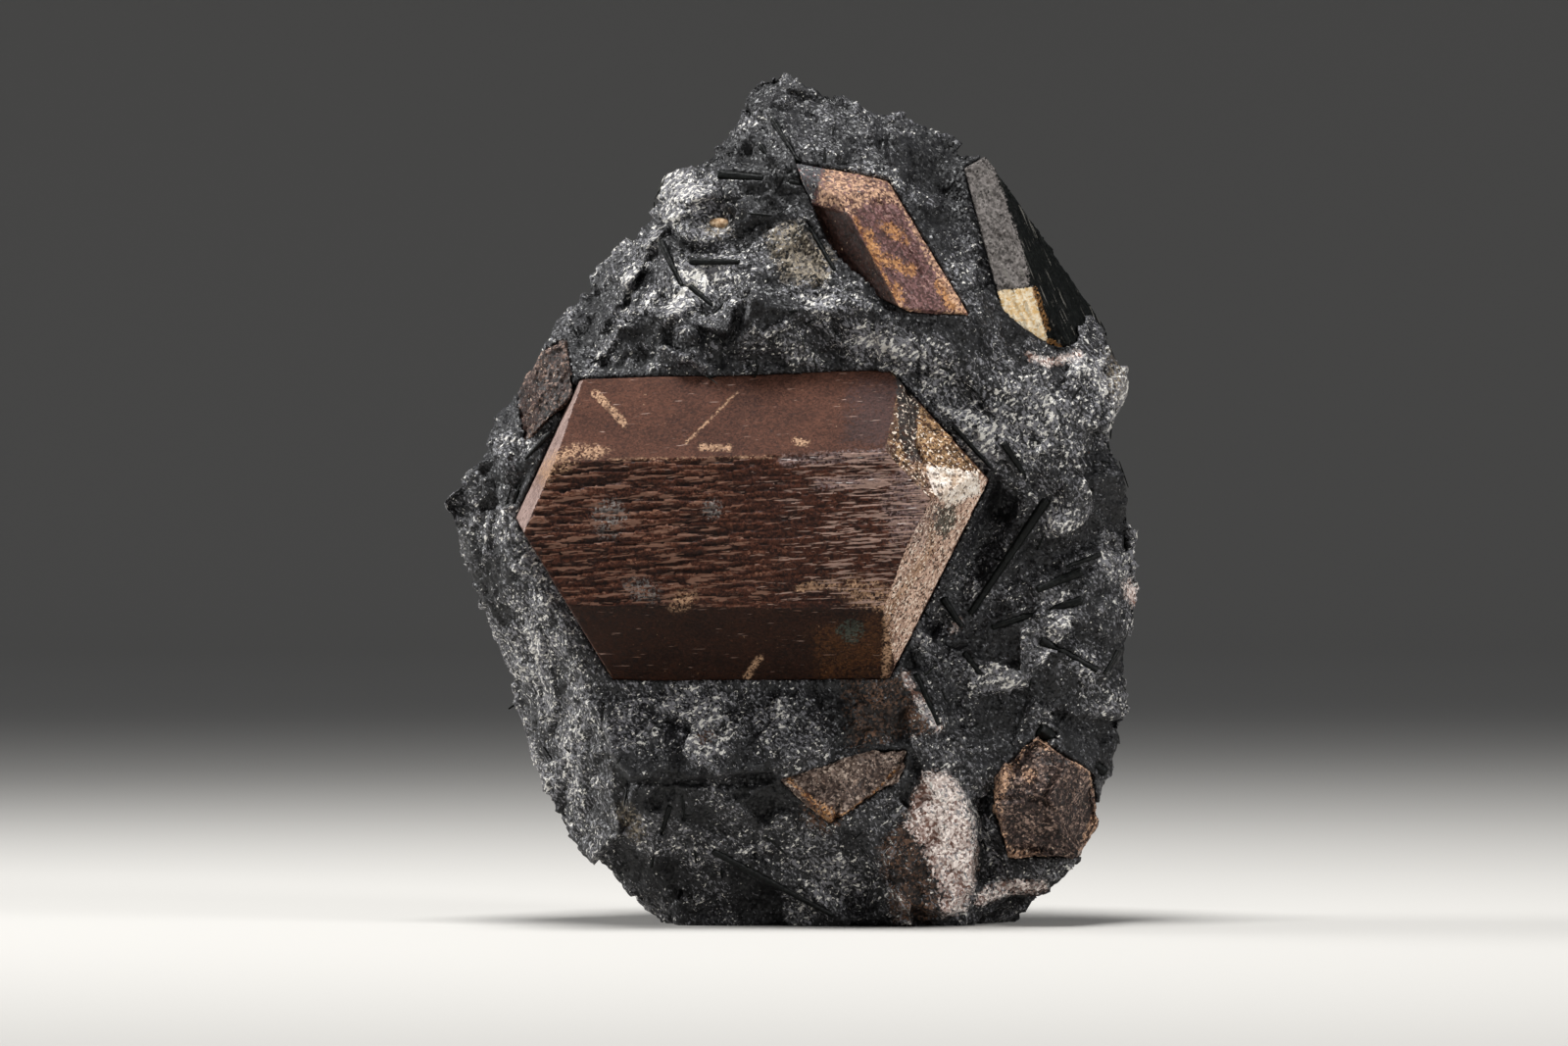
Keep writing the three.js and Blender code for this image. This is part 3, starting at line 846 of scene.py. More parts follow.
        bump = add_node(tree, "ShaderNodeBump", inputs).outputs[0]
        inputs = {"Base Color": colour, "Roughness": roughness, "Normal": bump, "IOR": self.ior}
        shader = add_node(tree, "ShaderNodeBsdfPrincipled", inputs)
        shader.inputs["Specular IOR Level"].default_value = self.specular
        add_node(tree, "ShaderNodeOutputMaterial", {"Surface": shader.outputs[0]})
        return material


# Nepheline syenite, broken by hand: a sugary black ground full of grey slivers that catch the light, some of
# them painted glints; raised relief is painted lighter and hollows darker.
ROCK = MineralFinish(
    name="broken_nepheline_syenite",
    shades=((0.0, "050506"), (0.5, "141416"), (0.8, "29292b"), (1.0, "4e4d4d")),
    grain_mm=0.26,
    grain_gain=0.7,
    patch_gain=0.8,
    relief_gain=0.35,
    lean=0.9,
    roughness=(0.3, 0.75),
    tints=(
        Tint("cream", "4a4034", "bdae96", mixed=0.7, soft=0.3, strength=0.55),
        Tint("brown", "1c120c", "6a4a34", mixed=0.9, soft=0.25, strength=0.85),
        Tint("pink", "7d5c50", "fff2ea", mixed=0.5, soft=0.2, strength=0.95),
    ),
    # The grey slivers grow thicker on raised relief and in the pale patches, partly as painted highlight.
    flecks=(
        Flecks(
            0.3, 0.59, "757478", (("patch", 0.45), ("pale", 0.16), ("relief", 0.1)), drawn=1.8, strength=0.85,
        ),
        Flecks(
            0.42, 0.655, "cfccc5", (("patch", 0.35), ("pale", 0.13), ("relief", 0.1)), 1.6, (0.8, 0.0, 0.6),
        ),
        Flecks(0.9, 0.76, "3f2f28", (("pink", 0.12),), strength=0.85),
    ),
)
# Lorenzenite, grown in steps: chocolate brown, with painted highlight on the ridges of the steps and painted
# shade, almost black, between them.
MAIN_BROWN = MineralFinish(
    name="grown_lorenzenite",
    shades=((0.0, "070302"), (0.4, "251008"), (0.7, "4b281a"), (1.0, "8a624e")),
    grain_mm=0.22,
    grain_gain=0.35,
    patch_gain=0.5,
    relief_gain=1.2,
    lean=0.25,
    roughness=(0.45, 0.7),
    ior=1.5,
    specular=0.18,
    tints=(
        Tint("top", "26140e", "5a3a2d", mixed=0.5, strength=0.92, roughness=0.85),
        # under: the faces that look down, painted near black as painted shade.
        Tint("under", "0a0402", "2c160a", mixed=0.5, strength=0.92, roughness=0.7),
        Tint("end_up", "35220f", "b8946c", mixed=1.0, strength=0.9),
        Tint("end_low", "74503e", "ecccb6", mixed=0.7, strength=0.92),
        Tint("end_left", "5f4a44", "a8928a", mixed=0.6, strength=0.92),
        Tint("plum", "1f1312", "473230", mixed=0.4, soft=0.3, strength=0.75),
        Tint("amber", "1c0e06", "5f3a1a", mixed=0.8, soft=0.4, strength=0.7, roughness=0.6),
        Tint("scuff", "35302e", "8d8884", mixed=0.9, soft=0.25, strength=0.75),
        Tint("tan", "5f4330", "cba584", mixed=0.9, soft=0.35, strength=0.85),
        Tint("groove", "0e0d0d", "3c3938", mixed=0.5, strength=0.95),
        Tint("green", "10140f", "4a5148", mixed=0.7, strength=0.9),
        Tint("crust", "b39c86", "fbf6ee", mixed=0.5, strength=0.97),
        # sheen: glossier, and painted a paler mauve-grey as a highlight along the upper front edges.
        Tint("sheen", "3a2b29", "9a8583", mixed=0.8, soft=0.35, strength=0.6, roughness=0.35),
    ),
    flecks=(
        # The bark flecks grow on the raised steps: partly pale striae of the crystal, partly painted
        # highlight on the ridges.
        Flecks(0.42, 0.71, "7d5c4c", (("bark", 0.16), ("relief", 0.25)), 7.0, (0.997, 0.0, 0.07), 0.45, 0.8),
        Flecks(0.26, 0.685, "a3877a", (("fine", 0.16), ("sheen", 0.06)), 12.0, (0.998, 0.0, 0.05), 0.4, 0.75),
        # White flecks in the sheen: painted glints.
        Flecks(0.24, 0.86, "efe6e4", (("sheen", 0.26),), 14.0, (0.998, 0.0, 0.05), 0.3, 0.9),
        Flecks(0.4, 0.72, "8f6c50", (("patch", 0.2),), strength=0.65),
        Flecks(0.7, 0.74, "3a2417", (("end_up", 0.2), ("end_low", 0.17)), strength=0.8),
        Flecks(0.4, 0.79, "ecdccb", (("end_up", 0.2), ("end_low", 0.22)), strength=0.85),
    ),
)
# Lorenzenite, cleaved and stained: purple-brown faces with rusty and tan films.
UPPER_BROWN = MineralFinish(
    name="stained_lorenzenite",
    shades=((0.0, "1f110f"), (0.45, "4c302b"), (0.75, "775655"), (1.0, "a88a7e")),
    grain_mm=0.25,
    grain_gain=0.6,
    patch_gain=0.6,
    relief_gain=0.6,
    lean=0.35,
    roughness=(0.4, 0.75),
    specular=0.3,
    tints=(
        Tint("rust", "5a3014", "c48f56", mixed=0.6, soft=0.2, strength=0.75),
        Tint("tan", "4f3226", "d0a888", mixed=0.9, soft=0.2, strength=0.85),
        # dark: painted shade on the upper crystal's face that looks left and down; on the left crystal it
        # darkens one corner face.
        Tint("dark", "120704", "341b12", mixed=0.3, strength=0.95, roughness=0.7),
        Tint("rock", "101113", "4c4e52", mixed=0.6, soft=0.2, strength=0.95),
    ),
    flecks=(
        Flecks(0.5, 0.68, "b4977c", (("patch", 0.2),), strength=0.8),
        Flecks(0.35, 0.74, "b9b8b4", (("rock", 0.15),), drawn=1.6),
    ),
)
# Lorenzenite, broken across: brown-black crumbly grains with tan ones along the rim.
CRUMBLY_BROWN = replace(
    UPPER_BROWN,
    name="broken_lorenzenite",
    shades=((0.0, "0d0807"), (0.45, "261a16"), (0.75, "453530"), (1.0, "8f776a")),
    grain_gain=0.9,
    lean=0.6,
    flecks=(
        Flecks(0.4, 0.6, "7d675b", (("patch", 0.3),), strength=0.8),
        Flecks(0.5, 0.66, "bfa592", (("patch", 0.25),), strength=0.85),
    ),
)
# Lorenzenite, split and weathered: greyish tan and granular, rusty along its edges.
TAN_BROWN = replace(
    CRUMBLY_BROWN,
    name="weathered_lorenzenite",
    shades=((0.0, "1f1511"), (0.45, "4a3a32"), (0.75, "75645a"), (1.0, "b5a394")),
)
# Aegirine, grown as fibrous prisms: greenish black, glassy along its length.
BLACK = MineralFinish(
    name="fibrous_aegirine",
    shades=((0.0, "040505"), (0.6, "0b0d0c"), (0.9, "1c1e1b"), (1.0, "3c3d38")),
    grain_mm=0.25,
    grain_gain=0.5,
    patch_gain=0.3,
    relief_gain=0.5,
    lean=0.2,
    roughness=(0.4, 0.6),
    bump_mm=0.01,
    specular=0.15,
)
# The same aegirine in a thick column, with a dull grey face and a honey-coloured one that weathered; the
# honey face is painted near white, brighter than its own colour, as painted light.
COLUMN_BLACK = replace(
    BLACK,
    name="weathered_aegirine",
    relief_gain=0.15,
    roughness=(0.5, 0.7),
    specular=0.08,
    tints=(
        Tint("grey", "3a3735", "827c79", mixed=0.5, strength=0.97, roughness=0.8),
        Tint("honey", "e6bd7c", "fff6e0", mixed=0.2, strength=1.0),
        Tint("rust", "5a3818", "b98a58", mixed=0.8, soft=0.2, strength=0.8),
    ),
    flecks=(
        Flecks(0.35, 0.74, "6d6a64", (("fibres", 0.12),), 14.0, (0.4, 0.0, -0.92), 0.4, 0.6),
        Flecks(0.3, 0.74, "8f8a86", (("grey", 0.1),), strength=0.6),
    ),
)
# Feldspar: a single cream grain, dull and a little cracked.
CREAM = MineralFinish(
    name="weathered_feldspar",
    shades=((0.0, "6b5038"), (0.5, "b08f6c"), (1.0, "e8d3b4")),
    grain_mm=0.35,
    lean=0.3,
    roughness=(0.45, 0.8),
)


@dataclass
class CutSolid:
    """A piece that starts from the frame's solid: remeshed finely, given its relief, thinned and dressed.

    Attributes:
        node: The solid's name.
        slot: The record's material slot; not used.
        finish: Its surface.
        voxel_mm: The size of the fine mesh.
        triangles: The most triangles that it keeps.
        relief: Its relief.
        marks: Patches by the attribute that holds them.
        faces: Face directions by the attribute that marks them.
        facets: Its flat breaks, each over the ones before.
        folds: Its ridges and grooves.
        facing: How straight a face looks that way, as the cosine of the angle.
        wander_gain: How far the patches' edges wander.
        wear: How often its edges are rounded by a step of the mesh.
        facet_edge_px: How far a break takes to leave the surface around it.
    """

    node: str
    slot: str
    finish: MineralFinish
    voxel_mm: float
    triangles: int
    relief: Relief
    marks: dict[str, tuple[Spot | Patch | Streak, ...]] = field(default_factory=dict)
    faces: dict[str, tuple[float, float, float]] = field(default_factory=dict)
    facets: tuple[Facet, ...] = ()
    folds: tuple[Fold, ...] = ()
    facing: float = 0.85
    wander_gain: float = 0.9
    wear: int = 3
    facet_edge_px: float = 5.0

    def solid(self) -> bpy.types.Object:
        """Copies the frame's solid and makes its loose triangles one fine, closed mesh.

        Returns:
            The new piece.
        """
        given = frame["nodes"][self.node]
        piece = bpy.data.objects.new(f"{self.node}_piece", given.data.copy())
        piece.data.materials.clear()
        bpy.context.scene.collection.objects.link(piece)
        activate(piece)
        bpy.ops.object.mode_set(mode="EDIT")
        bpy.ops.mesh.select_all(action="SELECT")
        bpy.ops.mesh.remove_doubles(threshold=MERGE_DISTANCE)
        bpy.ops.object.mode_set(mode="OBJECT")
        apply_modifier(piece, "REMESH", mode="VOXEL", voxel_size=self.voxel_mm * MM)
        self.drop_crumbs(piece)
        apply_modifier(piece, "SMOOTH", factor=0.5, iterations=self.wear)
        return piece

    def drop_crumbs(self, piece: bpy.types.Object) -> None:
        """Deletes what the fine mesh left loose, such as the crumbs of a wall that is too thin for it.

        Args:
            piece: The fine mesh.
        """
        activate(piece)
        bpy.ops.object.mode_set(mode="EDIT")
        bpy.ops.mesh.select_mode(type="VERT")
        bpy.ops.mesh.select_all(action="DESELECT")
        mesh = bmesh.from_edit_mesh(piece.data)
        min(mesh.verts, key=lambda vertex: vertex.co.z).select_set(True)
        bmesh.update_edit_mesh(piece.data)
        bpy.ops.mesh.select_linked()
        bpy.ops.mesh.select_all(action="INVERT")
        bpy.ops.mesh.delete(type="VERT")
        bpy.ops.object.mode_set(mode="OBJECT")

    def mark_faces(self, piece: bpy.types.Object) -> None:
        """Marks the faces that look each named way, before the relief turns them.

        Args:
            piece: The fine mesh.
        """
        normals = vertex_values(piece, normals=True)
        for name, direction in self.faces.items():
            towards = np.array(direction) / np.linalg.norm(direction)
            store(piece, name, smooth_step(normals @ towards, self.facing - 0.1, self.facing))

    def place_forms(self, piece: bpy.types.Object) -> None:
        """Works out how far the breaks, ridges and grooves move the show side forward, in mm.

        Args:
            piece: The fine mesh.
        """
        places = vertex_values(piece)
        pixels = PHOTO.pixels(places)
        shown = smooth_step(-vertex_values(piece, normals=True)[:, 1], 0.05, 0.3)
        start = -places[:, 1] / MM
        reach = start.copy()
        step_mm = PHOTO.step / MM
        for facet in self.facets:
            inside = inside_outline(pixels, facet.outline)
            fitted = inside & (shown > 0.5)
            middle = pixels[fitted].mean(axis=0)
            terms = np.column_stack([pixels - middle, np.ones(len(pixels))])
            plane = np.linalg.lstsq(terms[fitted], reach[fitted], rcond=None)[0]
            lean = np.tan(np.radians([facet.left_deg, facet.up_deg])) * step_mm
            plane += np.array([lean[0], lean[1], facet.lift_mm])
            edge = line_distance(pixels, (*facet.outline, facet.outline[0]))
            share = smooth_step(np.where(inside, edge, -edge), -self.facet_edge_px / 2, self.facet_edge_px)
            reach += share * shown * (terms @ plane - reach)
        for fold in self.folds:
            share = 1.0 - smooth_step(line_distance(pixels, fold.line), 0.0, fold.half_width)
            reach += share * shown * fold.height_mm
        store(piece, "form", reach - start)

    def mark_spots(self, piece: bpy.types.Object) -> None:
        """Marks the patches on the show side, with edges that wander.

        Args:
            piece: The finished mesh.
        """
        pixels = PHOTO.pixels(vertex_values(piece))
        shown = smooth_step(-vertex_values(piece, normals=True)[:, 1], -0.3, 0.1)
        wander = np.zeros(len(pixels), np.float32)
        piece.data.attributes["wander"].data.foreach_get("value", wander)
        for name, marks in self.marks.items():
            share = np.max([mark.share(pixels) for mark in marks], axis=0) * shown
            store(piece, name, share + self.wander_gain * wander * np.minimum(3.0 * share, 1.0))

    def thin(self, piece: bpy.types.Object) -> None:
        """Takes triangles out where the surface is flat, down to the piece's limit.

        Args:
            piece: The mesh to thin.
        """
        share = self.triangles / max(triangle_count(piece), 1)
        if share < 1:
            apply_modifier(piece, "DECIMATE", ratio=share, use_collapse_triangulate=True)

    def settle(self, piece: bpy.types.Object) -> None:
        """Flattens what the relief pushed below the floor that the specimen stands on.

        Args:
            piece: The carved mesh.
        """
        places = vertex_values(piece)
        places[:, 2] = np.maximum(places[:, 2], 0.0)
        piece.data.vertices.foreach_set("co", places.ravel())
        piece.data.update()

    def neighbours(self) -> list[bpy.types.Object]:
        """The pieces whose gaps this one closes: none for a crystal."""
        return []

    def build(self) -> bpy.types.Object:
        """Builds, dresses and hands over the piece.

        Returns:
            The finished piece.
        """
        piece = self.solid()
        self.mark_faces(piece)
        self.place_forms(piece)
        self.relief.carve(piece, self.neighbours())
        self.settle(piece)
        self.thin(piece)
        self.mark_spots(piece)
        activate(piece)
        bpy.ops.object.shade_smooth()
        piece.data.materials.append(self.finish.make())
        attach(piece, BODY)
        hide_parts(self.node)
        LOG.info("%s: %d triangles", piece.name, triangle_count(piece))
        return piece


@dataclass
class MatrixRock(CutSolid):
    """The dark rock that holds the crystals, with the breaks and edges of its show side."""

    def mark_faces(self, piece: bpy.types.Object) -> None:
        """Marks the faces, and the back, which has larger breaks.

        Args:
            piece: The fine mesh.
        """
        super().mark_faces(piece)
        store(piece, "back", smooth_step(vertex_values(piece, normals=True)[:, 1], -0.1, 0.4))

    def neighbours(self) -> list[bpy.types.Object]:
        """Every other solid, since each sits in a socket of the rock."""
        return [given for name, given in frame["nodes"].items() if name != self.node]

    def mark_spots(self, piece: bpy.types.Object) -> None:
        """Marks the patches, and paints the pale folds, which are ridges, lighter as a painted highlight.

        Args:
            piece: The finished mesh.
        """
        # Painted highlight along the raised folds.
        painted_ridge_highlights = tuple(Streak(fold.line, fold.half_width, fold.pale) for fold in self.folds if fold.pale)
        self.marks["pale"] = (*self.marks["pale"], *painted_ridge_highlights)
        super().mark_spots(piece)
        store(piece, "open", smooth_step(vertex_values(piece)[:, 2], 1.5 * MM, 2.5 * MM))


@dataclass
class AegirineLaths:
    """Small black laths that lie all over the rock's broken surface, scattered and joined as one mesh.

    Attributes:
        finish: Their surface.
        per_cm2: How many there are.
        smallest_mm: The length, width and thickness of the smallest.
        largest_mm: The length, width and thickness of the largest.
        seed: The seed of the scatter.
    """

    finish: MineralFinish
    per_cm2: float = 1.2
    smallest_mm: tuple[float, float, float] = (1.0, 0.18, 0.16)
    largest_mm: tuple[float, float, float] = (3.6, 0.42, 0.34)
    seed: int = 11

    def lath(self) -> bpy.types.Object:
        """Makes one lath of unit size along X: a six-sided prism with drawn-in ends.

        Returns:
            The lath.
        """
        bpy.ops.object.select_all(action="DESELECT")
        turn = (0.0, math.pi / 2, 0.0)
        bpy.ops.mesh.primitive_cylinder_add(vertices=6, radius=0.5, depth=1.0, rotation=turn)
        lath = bpy.context.object
        lath.name = "aegirine_laths"
        bpy.ops.object.transform_apply(rotation=True)
        bpy.ops.object.mode_set(mode="EDIT")
        bpy.ops.mesh.select_all(action="SELECT")
        bpy.ops.mesh.subdivide(number_cuts=1)
        bpy.ops.mesh.select_all(action="DESELECT")
        mesh = bmesh.from_edit_mesh(lath.data)
        for vertex in mesh.verts:
            vertex.select_set(abs(vertex.co.x) > 0.4)
        bmesh.update_edit_mesh(lath.data)
        bpy.ops.transform.resize(value=(1.0, 0.55, 0.55), center_override=(0.0, 0.0, 0.0))
        bpy.ops.object.mode_set(mode="OBJECT")
        lath.data.materials.append(self.finish.make())
        return lath

    def build(self, rock: bpy.types.Object) -> bpy.types.Object:
        """Scatters the laths on the rock and joins them.

        Args:
            rock: The finished rock.

        Returns:
            The finished laths.
        """
        lath = self.lath()
        tree = bpy.data.node_groups.new("scatter", "GeometryNodeTree")
        for way in ("INPUT", "OUTPUT"):
            tree.interface.new_socket("Geometry", in_out=way, socket_type="NodeSocketGeometry")
        given = add_node(tree, "NodeGroupInput").outputs[0]
        ground = add_node(tree, "GeometryNodeObjectInfo", {"Object": rock}).outputs["Geometry"]
        bare = add_node(tree, "GeometryNodeInputNamedAttribute", {"Name": "open"}).outputs[0]
        inputs = {0: bare, 1: self.per_cm2 * CM2_PER_M2}
        density = add_node(tree, "ShaderNodeMath", inputs, operation="MULTIPLY").outputs[0]
        inputs = {"Mesh": ground, "Density": density, "Seed": self.seed}
        points = add_node(tree, "GeometryNodeDistributePointsOnFaces", inputs)
        inputs = {0: (0.0, -0.1, 0.0), 1: (0.0, 0.1, math.tau), "Seed": self.seed}
        spin = add_node(tree, "FunctionNodeRandomValue", inputs, data_type="FLOAT_VECTOR").outputs[0]
        turn = add_node(tree, "FunctionNodeEulerToRotation", {0: spin}).outputs[0]
        inputs = {0: points.outputs["Rotation"], 1: turn}
        turned = add_node(tree, "FunctionNodeRotateRotation", inputs, rotation_space="LOCAL").outputs[0]
        smallest = tuple(size * MM for size in self.smallest_mm)
        largest = tuple(size * MM for size in self.largest_mm)
        inputs = {0: smallest, 1: largest, "Seed": self.seed + 1}
        sizes = add_node(tree, "FunctionNodeRandomValue", inputs, data_type="FLOAT_VECTOR").outputs[0]
        inputs = {"Points": points.outputs["Points"], "Instance": given, "Rotation": turned, "Scale": sizes}
        placed = add_node(tree, "GeometryNodeInstanceOnPoints", inputs).outputs[0]
        joined = add_node(tree, "GeometryNodeRealizeInstances", {0: placed}).outputs[0]
        add_node(tree, "NodeGroupOutput", {0: joined})
        apply_modifier(lath, "NODES", node_group=tree)
        bpy.data.node_groups.remove(tree)
        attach(lath, BODY)
        LOG.info("%s: %d triangles", lath.name, triangle_count(lath))
        return lath


@dataclass
class ShowCrystal(CutSolid):
    """A crystal whose finest relief is only on the show side."""

    def mark_faces(self, piece: bpy.types.Object) -> None:
        """Marks the faces and the show side.

        Args:
            piece: The fine mesh.
        """
        super().mark_faces(piece)
        store(piece, "show", smooth_step(-vertex_values(piece, normals=True)[:, 1], 0.0, 0.3))


@dataclass
class MainCrystal(ShowCrystal):
    """The large crystal, with bark-like growth steps that get finer towards its right end."""

    bark_until_px: tuple[float, float] = (700.0, 900.0)

    def mark_faces(self, piece: bpy.types.Object) -> None:
        """Marks the faces, and where on the front the steps are coarse or fine.

        Args:
            piece: The fine mesh.
        """
        super().mark_faces(piece)
        across = PHOTO.pixels(vertex_values(piece))[:, 0]
        front = smooth_step(-vertex_values(piece, normals=True)[:, 1], 0.88, 0.96)
        coarse = 1.0 - smooth_step(across, *self.bark_until_px)
        store(piece, "bark", front * coarse)
        store(piece, "fine", front * (1.0 - coarse))


@dataclass
class Stage:
    """The pale floor that rises into a round wall, the soft lights and the camera."""

    floor_radius: float = 3.0
    wall_height: float = 1.0
    cove_radius: float = 0.9
    floor_colour: str = "b9b7b3"
    world_colour: str = "d8dade"
    world_strength: float = 0.2
    spread_deg: float = 100.0

    def floor(self) -> None:
        """Makes the floor and its wall in one, with a round cove between them."""
        bpy.ops.object.select_all(action="DESELECT")
        middle = (0.0, 0.0, self.wall_height / 2)
        bpy.ops.mesh.primitive_cylinder_add(
            vertices=96, radius=self.floor_radius, depth=self.wall_height, location=middle
        )
        floor = bpy.context.object
        floor.name = "floor"
        bpy.ops.object.transform_apply(location=True)
        bpy.ops.object.mode_set(mode="EDIT")
        mesh = bmesh.from_edit_mesh(floor.data)
        bpy.ops.mesh.select_all(action="DESELECT")
        for face in mesh.faces:
            face.select_set(face.normal.z > 0.5)
        bpy.ops.mesh.delete(type="FACE")
        mesh = bmesh.from_edit_mesh(floor.data)
        bpy.ops.mesh.select_mode(type="EDGE")
        for edge in mesh.edges:
            edge.select_set(all(vertex.co.z < MM for vertex in edge.verts))
        bpy.ops.mesh.bevel(offset=self.cove_radius, segments=16, affect="EDGES")
        bpy.ops.mesh.select_all(action="SELECT")
        bpy.ops.mesh.flip_normals()
        bpy.ops.object.mode_set(mode="OBJECT")
        bpy.ops.object.shade_smooth()
        material = bpy.data.materials.new("matte_paper")
        material.use_nodes = True
        shader = material.node_tree.nodes["Principled BSDF"]
        shader.inputs["Base Color"].default_value = linear(self.floor_colour)
        shader.inputs["Roughness"].default_value = 0.9
        shader.inputs["Specular IOR Level"].default_value = 0.1
        floor.data.materials.append(material)

    def light(
        self,
        name: str,
        place: tuple[float, float, float],
        target: tuple[float, float, float],
        size: float,
        power: float,
    ) -> None:
        """Adds a square soft light.

        Args:
            name: Its name.
            place: Where it hangs, in metres.
            target: What it shines at.
            size: The length of its side in metres.
            power: Its power in watts.
        """
        lamp = bpy.data.lights.new(name, "AREA")
        lamp.size = size
        lamp.energy = power
        lamp.spread = math.radians(self.spread_deg)
        holder = bpy.data.objects.new(name, lamp)
        bpy.context.scene.collection.objects.link(holder)
        holder.location = place
        holder.rotation_euler = (Vector(target) - holder.location).to_track_quat("-Z", "Y").to_euler()

    def camera(self) -> None:
        """Adds the camera where the photograph was taken from, looking level at the show side."""
        lens = bpy.data.cameras.new("camera")
        lens.sensor_width = PHOTO.sensor_mm
        lens.lens = PHOTO.lens_mm
        holder = bpy.data.objects.new("camera", lens)
        bpy.context.scene.collection.objects.link(holder)
        holder.location = PHOTO.eye
        holder.rotation_euler = (math.pi / 2, 0.0, 0.0)
        bpy.context.scene.camera = holder

    def build(self) -> None:
        """Builds the whole stage."""
        self.floor()
        self.camera()
        middle = (0.0, 0.0, 0.5 * PHOTO.specimen_height)
        self.light("overhead", (-0.08, -0.10, 0.8), middle, 0.3, 2.75)
        self.light("left_rim", (-0.6, 0.10, 0.25), middle, 0.25, 1.2)
        self.light("right_side", (0.6, -0.4, 0.35), middle, 0.25, 0.85)
        self.light("front_fill", (-0.35, -1.1, 0.35), middle, 0.5, 0.4)
        world = bpy.data.worlds.new("studio")
        world.use_nodes = True
        back = world.node_tree.nodes["Background"]
        back.inputs[0].default_value = linear(self.world_colour)
        back.inputs[1].default_value = self.world_strength
        bpy.context.scene.world = world
        bpy.context.scene.view_settings.view_transform = "Standard"


ROCK_RELIEF = Relief(
    (
        ReliefLayer(Pattern.FACETS, 19.0, 19.0, 5.0, mask="back"),
        ReliefLayer(Pattern.FACETS, 9.0, 9.0, 2.0),
        ReliefLayer(Pattern.FACETS, 4.0, 4.0, 1.2),
        ReliefLayer(Pattern.FACETS, 1.8, 1.8, 0.6),
        ReliefLayer(Pattern.FACETS, 0.9, 0.9, 0.3),
        ReliefLayer(Pattern.LUMPS, 6.0, 6.0, 1.2),
    )
)
ROCK_FACETS = (
    Facet(
        ((653, 262), (672, 240), (700, 262), (745, 268), (758, 300), (742, 345), (705, 330), (664, 316),
         (640, 325)),
        up_deg=24, left_deg=6, lift_mm=-0.6,
    ),
    Facet(((597, 386), (622, 348), (640, 326), (664, 317), (690, 315), (712, 335), (720, 384)), -16, 10),
    Facet(((766, 298), (800, 312), (860, 312), (860, 380), (744, 380)), -12, -8),
    Facet(((683, 206), (695, 180), (722, 178), (731, 200), (705, 212)), 28, 14, 0.3),
    Facet(((805, 96), (870, 112), (905, 138), (845, 168), (795, 150), (790, 120)), 16, 0),
    Facet(((905, 132), (985, 165), (1000, 260), (985, 285), (945, 215), (905, 165)), -6, -10, -0.6),
    Facet(
        ((612, 700), (860, 696), (880, 740), (811, 785), (721, 795), (641, 797), (620, 770)),
        up_deg=14, left_deg=0, lift_mm=0.7,
    ),
    Facet(
        ((641, 800), (721, 799), (794, 798), (850, 830), (895, 880), (885, 935), (700, 935), (665, 890),
         (636, 850)),
        up_deg=-10, left_deg=0, lift_mm=-0.7,
    ),
    Facet(
        ((545, 700), (612, 716), (617, 756), (625, 790), (628, 819), (635, 853), (605, 880), (575, 860),
         (560, 790)),
        up_deg=0, left_deg=14,
    ),
    Facet(((1084, 488), (1150, 480), (1156, 560), (1110, 575), (1070, 540)), -16, -12),
    Facet(((932, 383), (965, 368), (1068, 478), (1040, 500), (1010, 486)), 14, -10),
    Facet(((1004, 490), (1040, 512), (1000, 600), (950, 655), (945, 640), (980, 560)), 0, 0, -1.6),
    Facet(((1095, 350), (1130, 345), (1150, 380), (1140, 440), (1105, 440)), 10, 0, 0.7),
    Facet(
        ((932, 792), (964, 784), (981, 804), (992, 835), (997, 868), (994, 906), (969, 936), (915, 925),
         (900, 870), (925, 835)),
        up_deg=4, left_deg=6, lift_mm=0.8,
    ),
    Facet(((997, 830), (1012, 820), (1020, 860), (1024, 890), (1000, 905), (998, 868)), 0, 0, -1.2),
    Facet(((900, 812), (926, 806), (930, 838), (905, 846)), -10, 10, -1.0),
    Facet(((453, 515), (480, 470), (525, 455), (526, 545), (500, 570), (480, 565)), 0, 10),
    Facet(((880, 700), (925, 690), (955, 742), (915, 748), (880, 760)), 12, 8, 0.5),
    Facet(((965, 690), (1040, 660), (1060, 720), (1030, 760), (975, 745)), -8, 8, -0.5),
)
# Folds with a fourth number are ridges painted paler along their line: painted highlight.
ROCK_FOLDS = (
    Fold(((672, 233), (664, 251), (651, 272), (640, 290)), 7, 0.9, 1.0),
    Fold(((655, 282), (647, 294), (634, 318), (623, 333)), 6, -1.3),
    Fold(((690, 313), (664, 316), (636, 322), (625, 346), (601, 381)), 6, 0.6, 0.9),
    Fold(((672, 233), (690, 222), (712, 216)), 5, 0.4, 0.7),
    Fold(((714, 216), (728, 213), (744, 220)), 11, -1.7),
    Fold(((641, 801), (677, 789), (702, 799), (753, 801), (794, 799)), 6, -0.9),
    Fold(((846, 782), (885, 765), (921, 748)), 6, -1.0),
    Fold(((940, 680), (946, 710), (963, 742)), 5, -0.9),
    Fold(((923, 691), (938, 715), (957, 741)), 5, 0.6, 1.0),
    Fold(((969, 432), (990, 460), (1012, 488)), 5, -1.0),
    Fold(((1084, 488), (1070, 537)), 6, 0.6, 0.8),
    Fold(((1058, 746), (1090, 764), (1121, 788)), 6, -0.9),
    Fold(((627, 825), (628, 853)), 5, 0.4, 1.0),
    Fold(((590, 790), (586, 820), (592, 845)), 6, 0.3, 0.9),
    Fold(((575, 740), (592, 760), (610, 788)), 6, 0.3, 0.9),
)
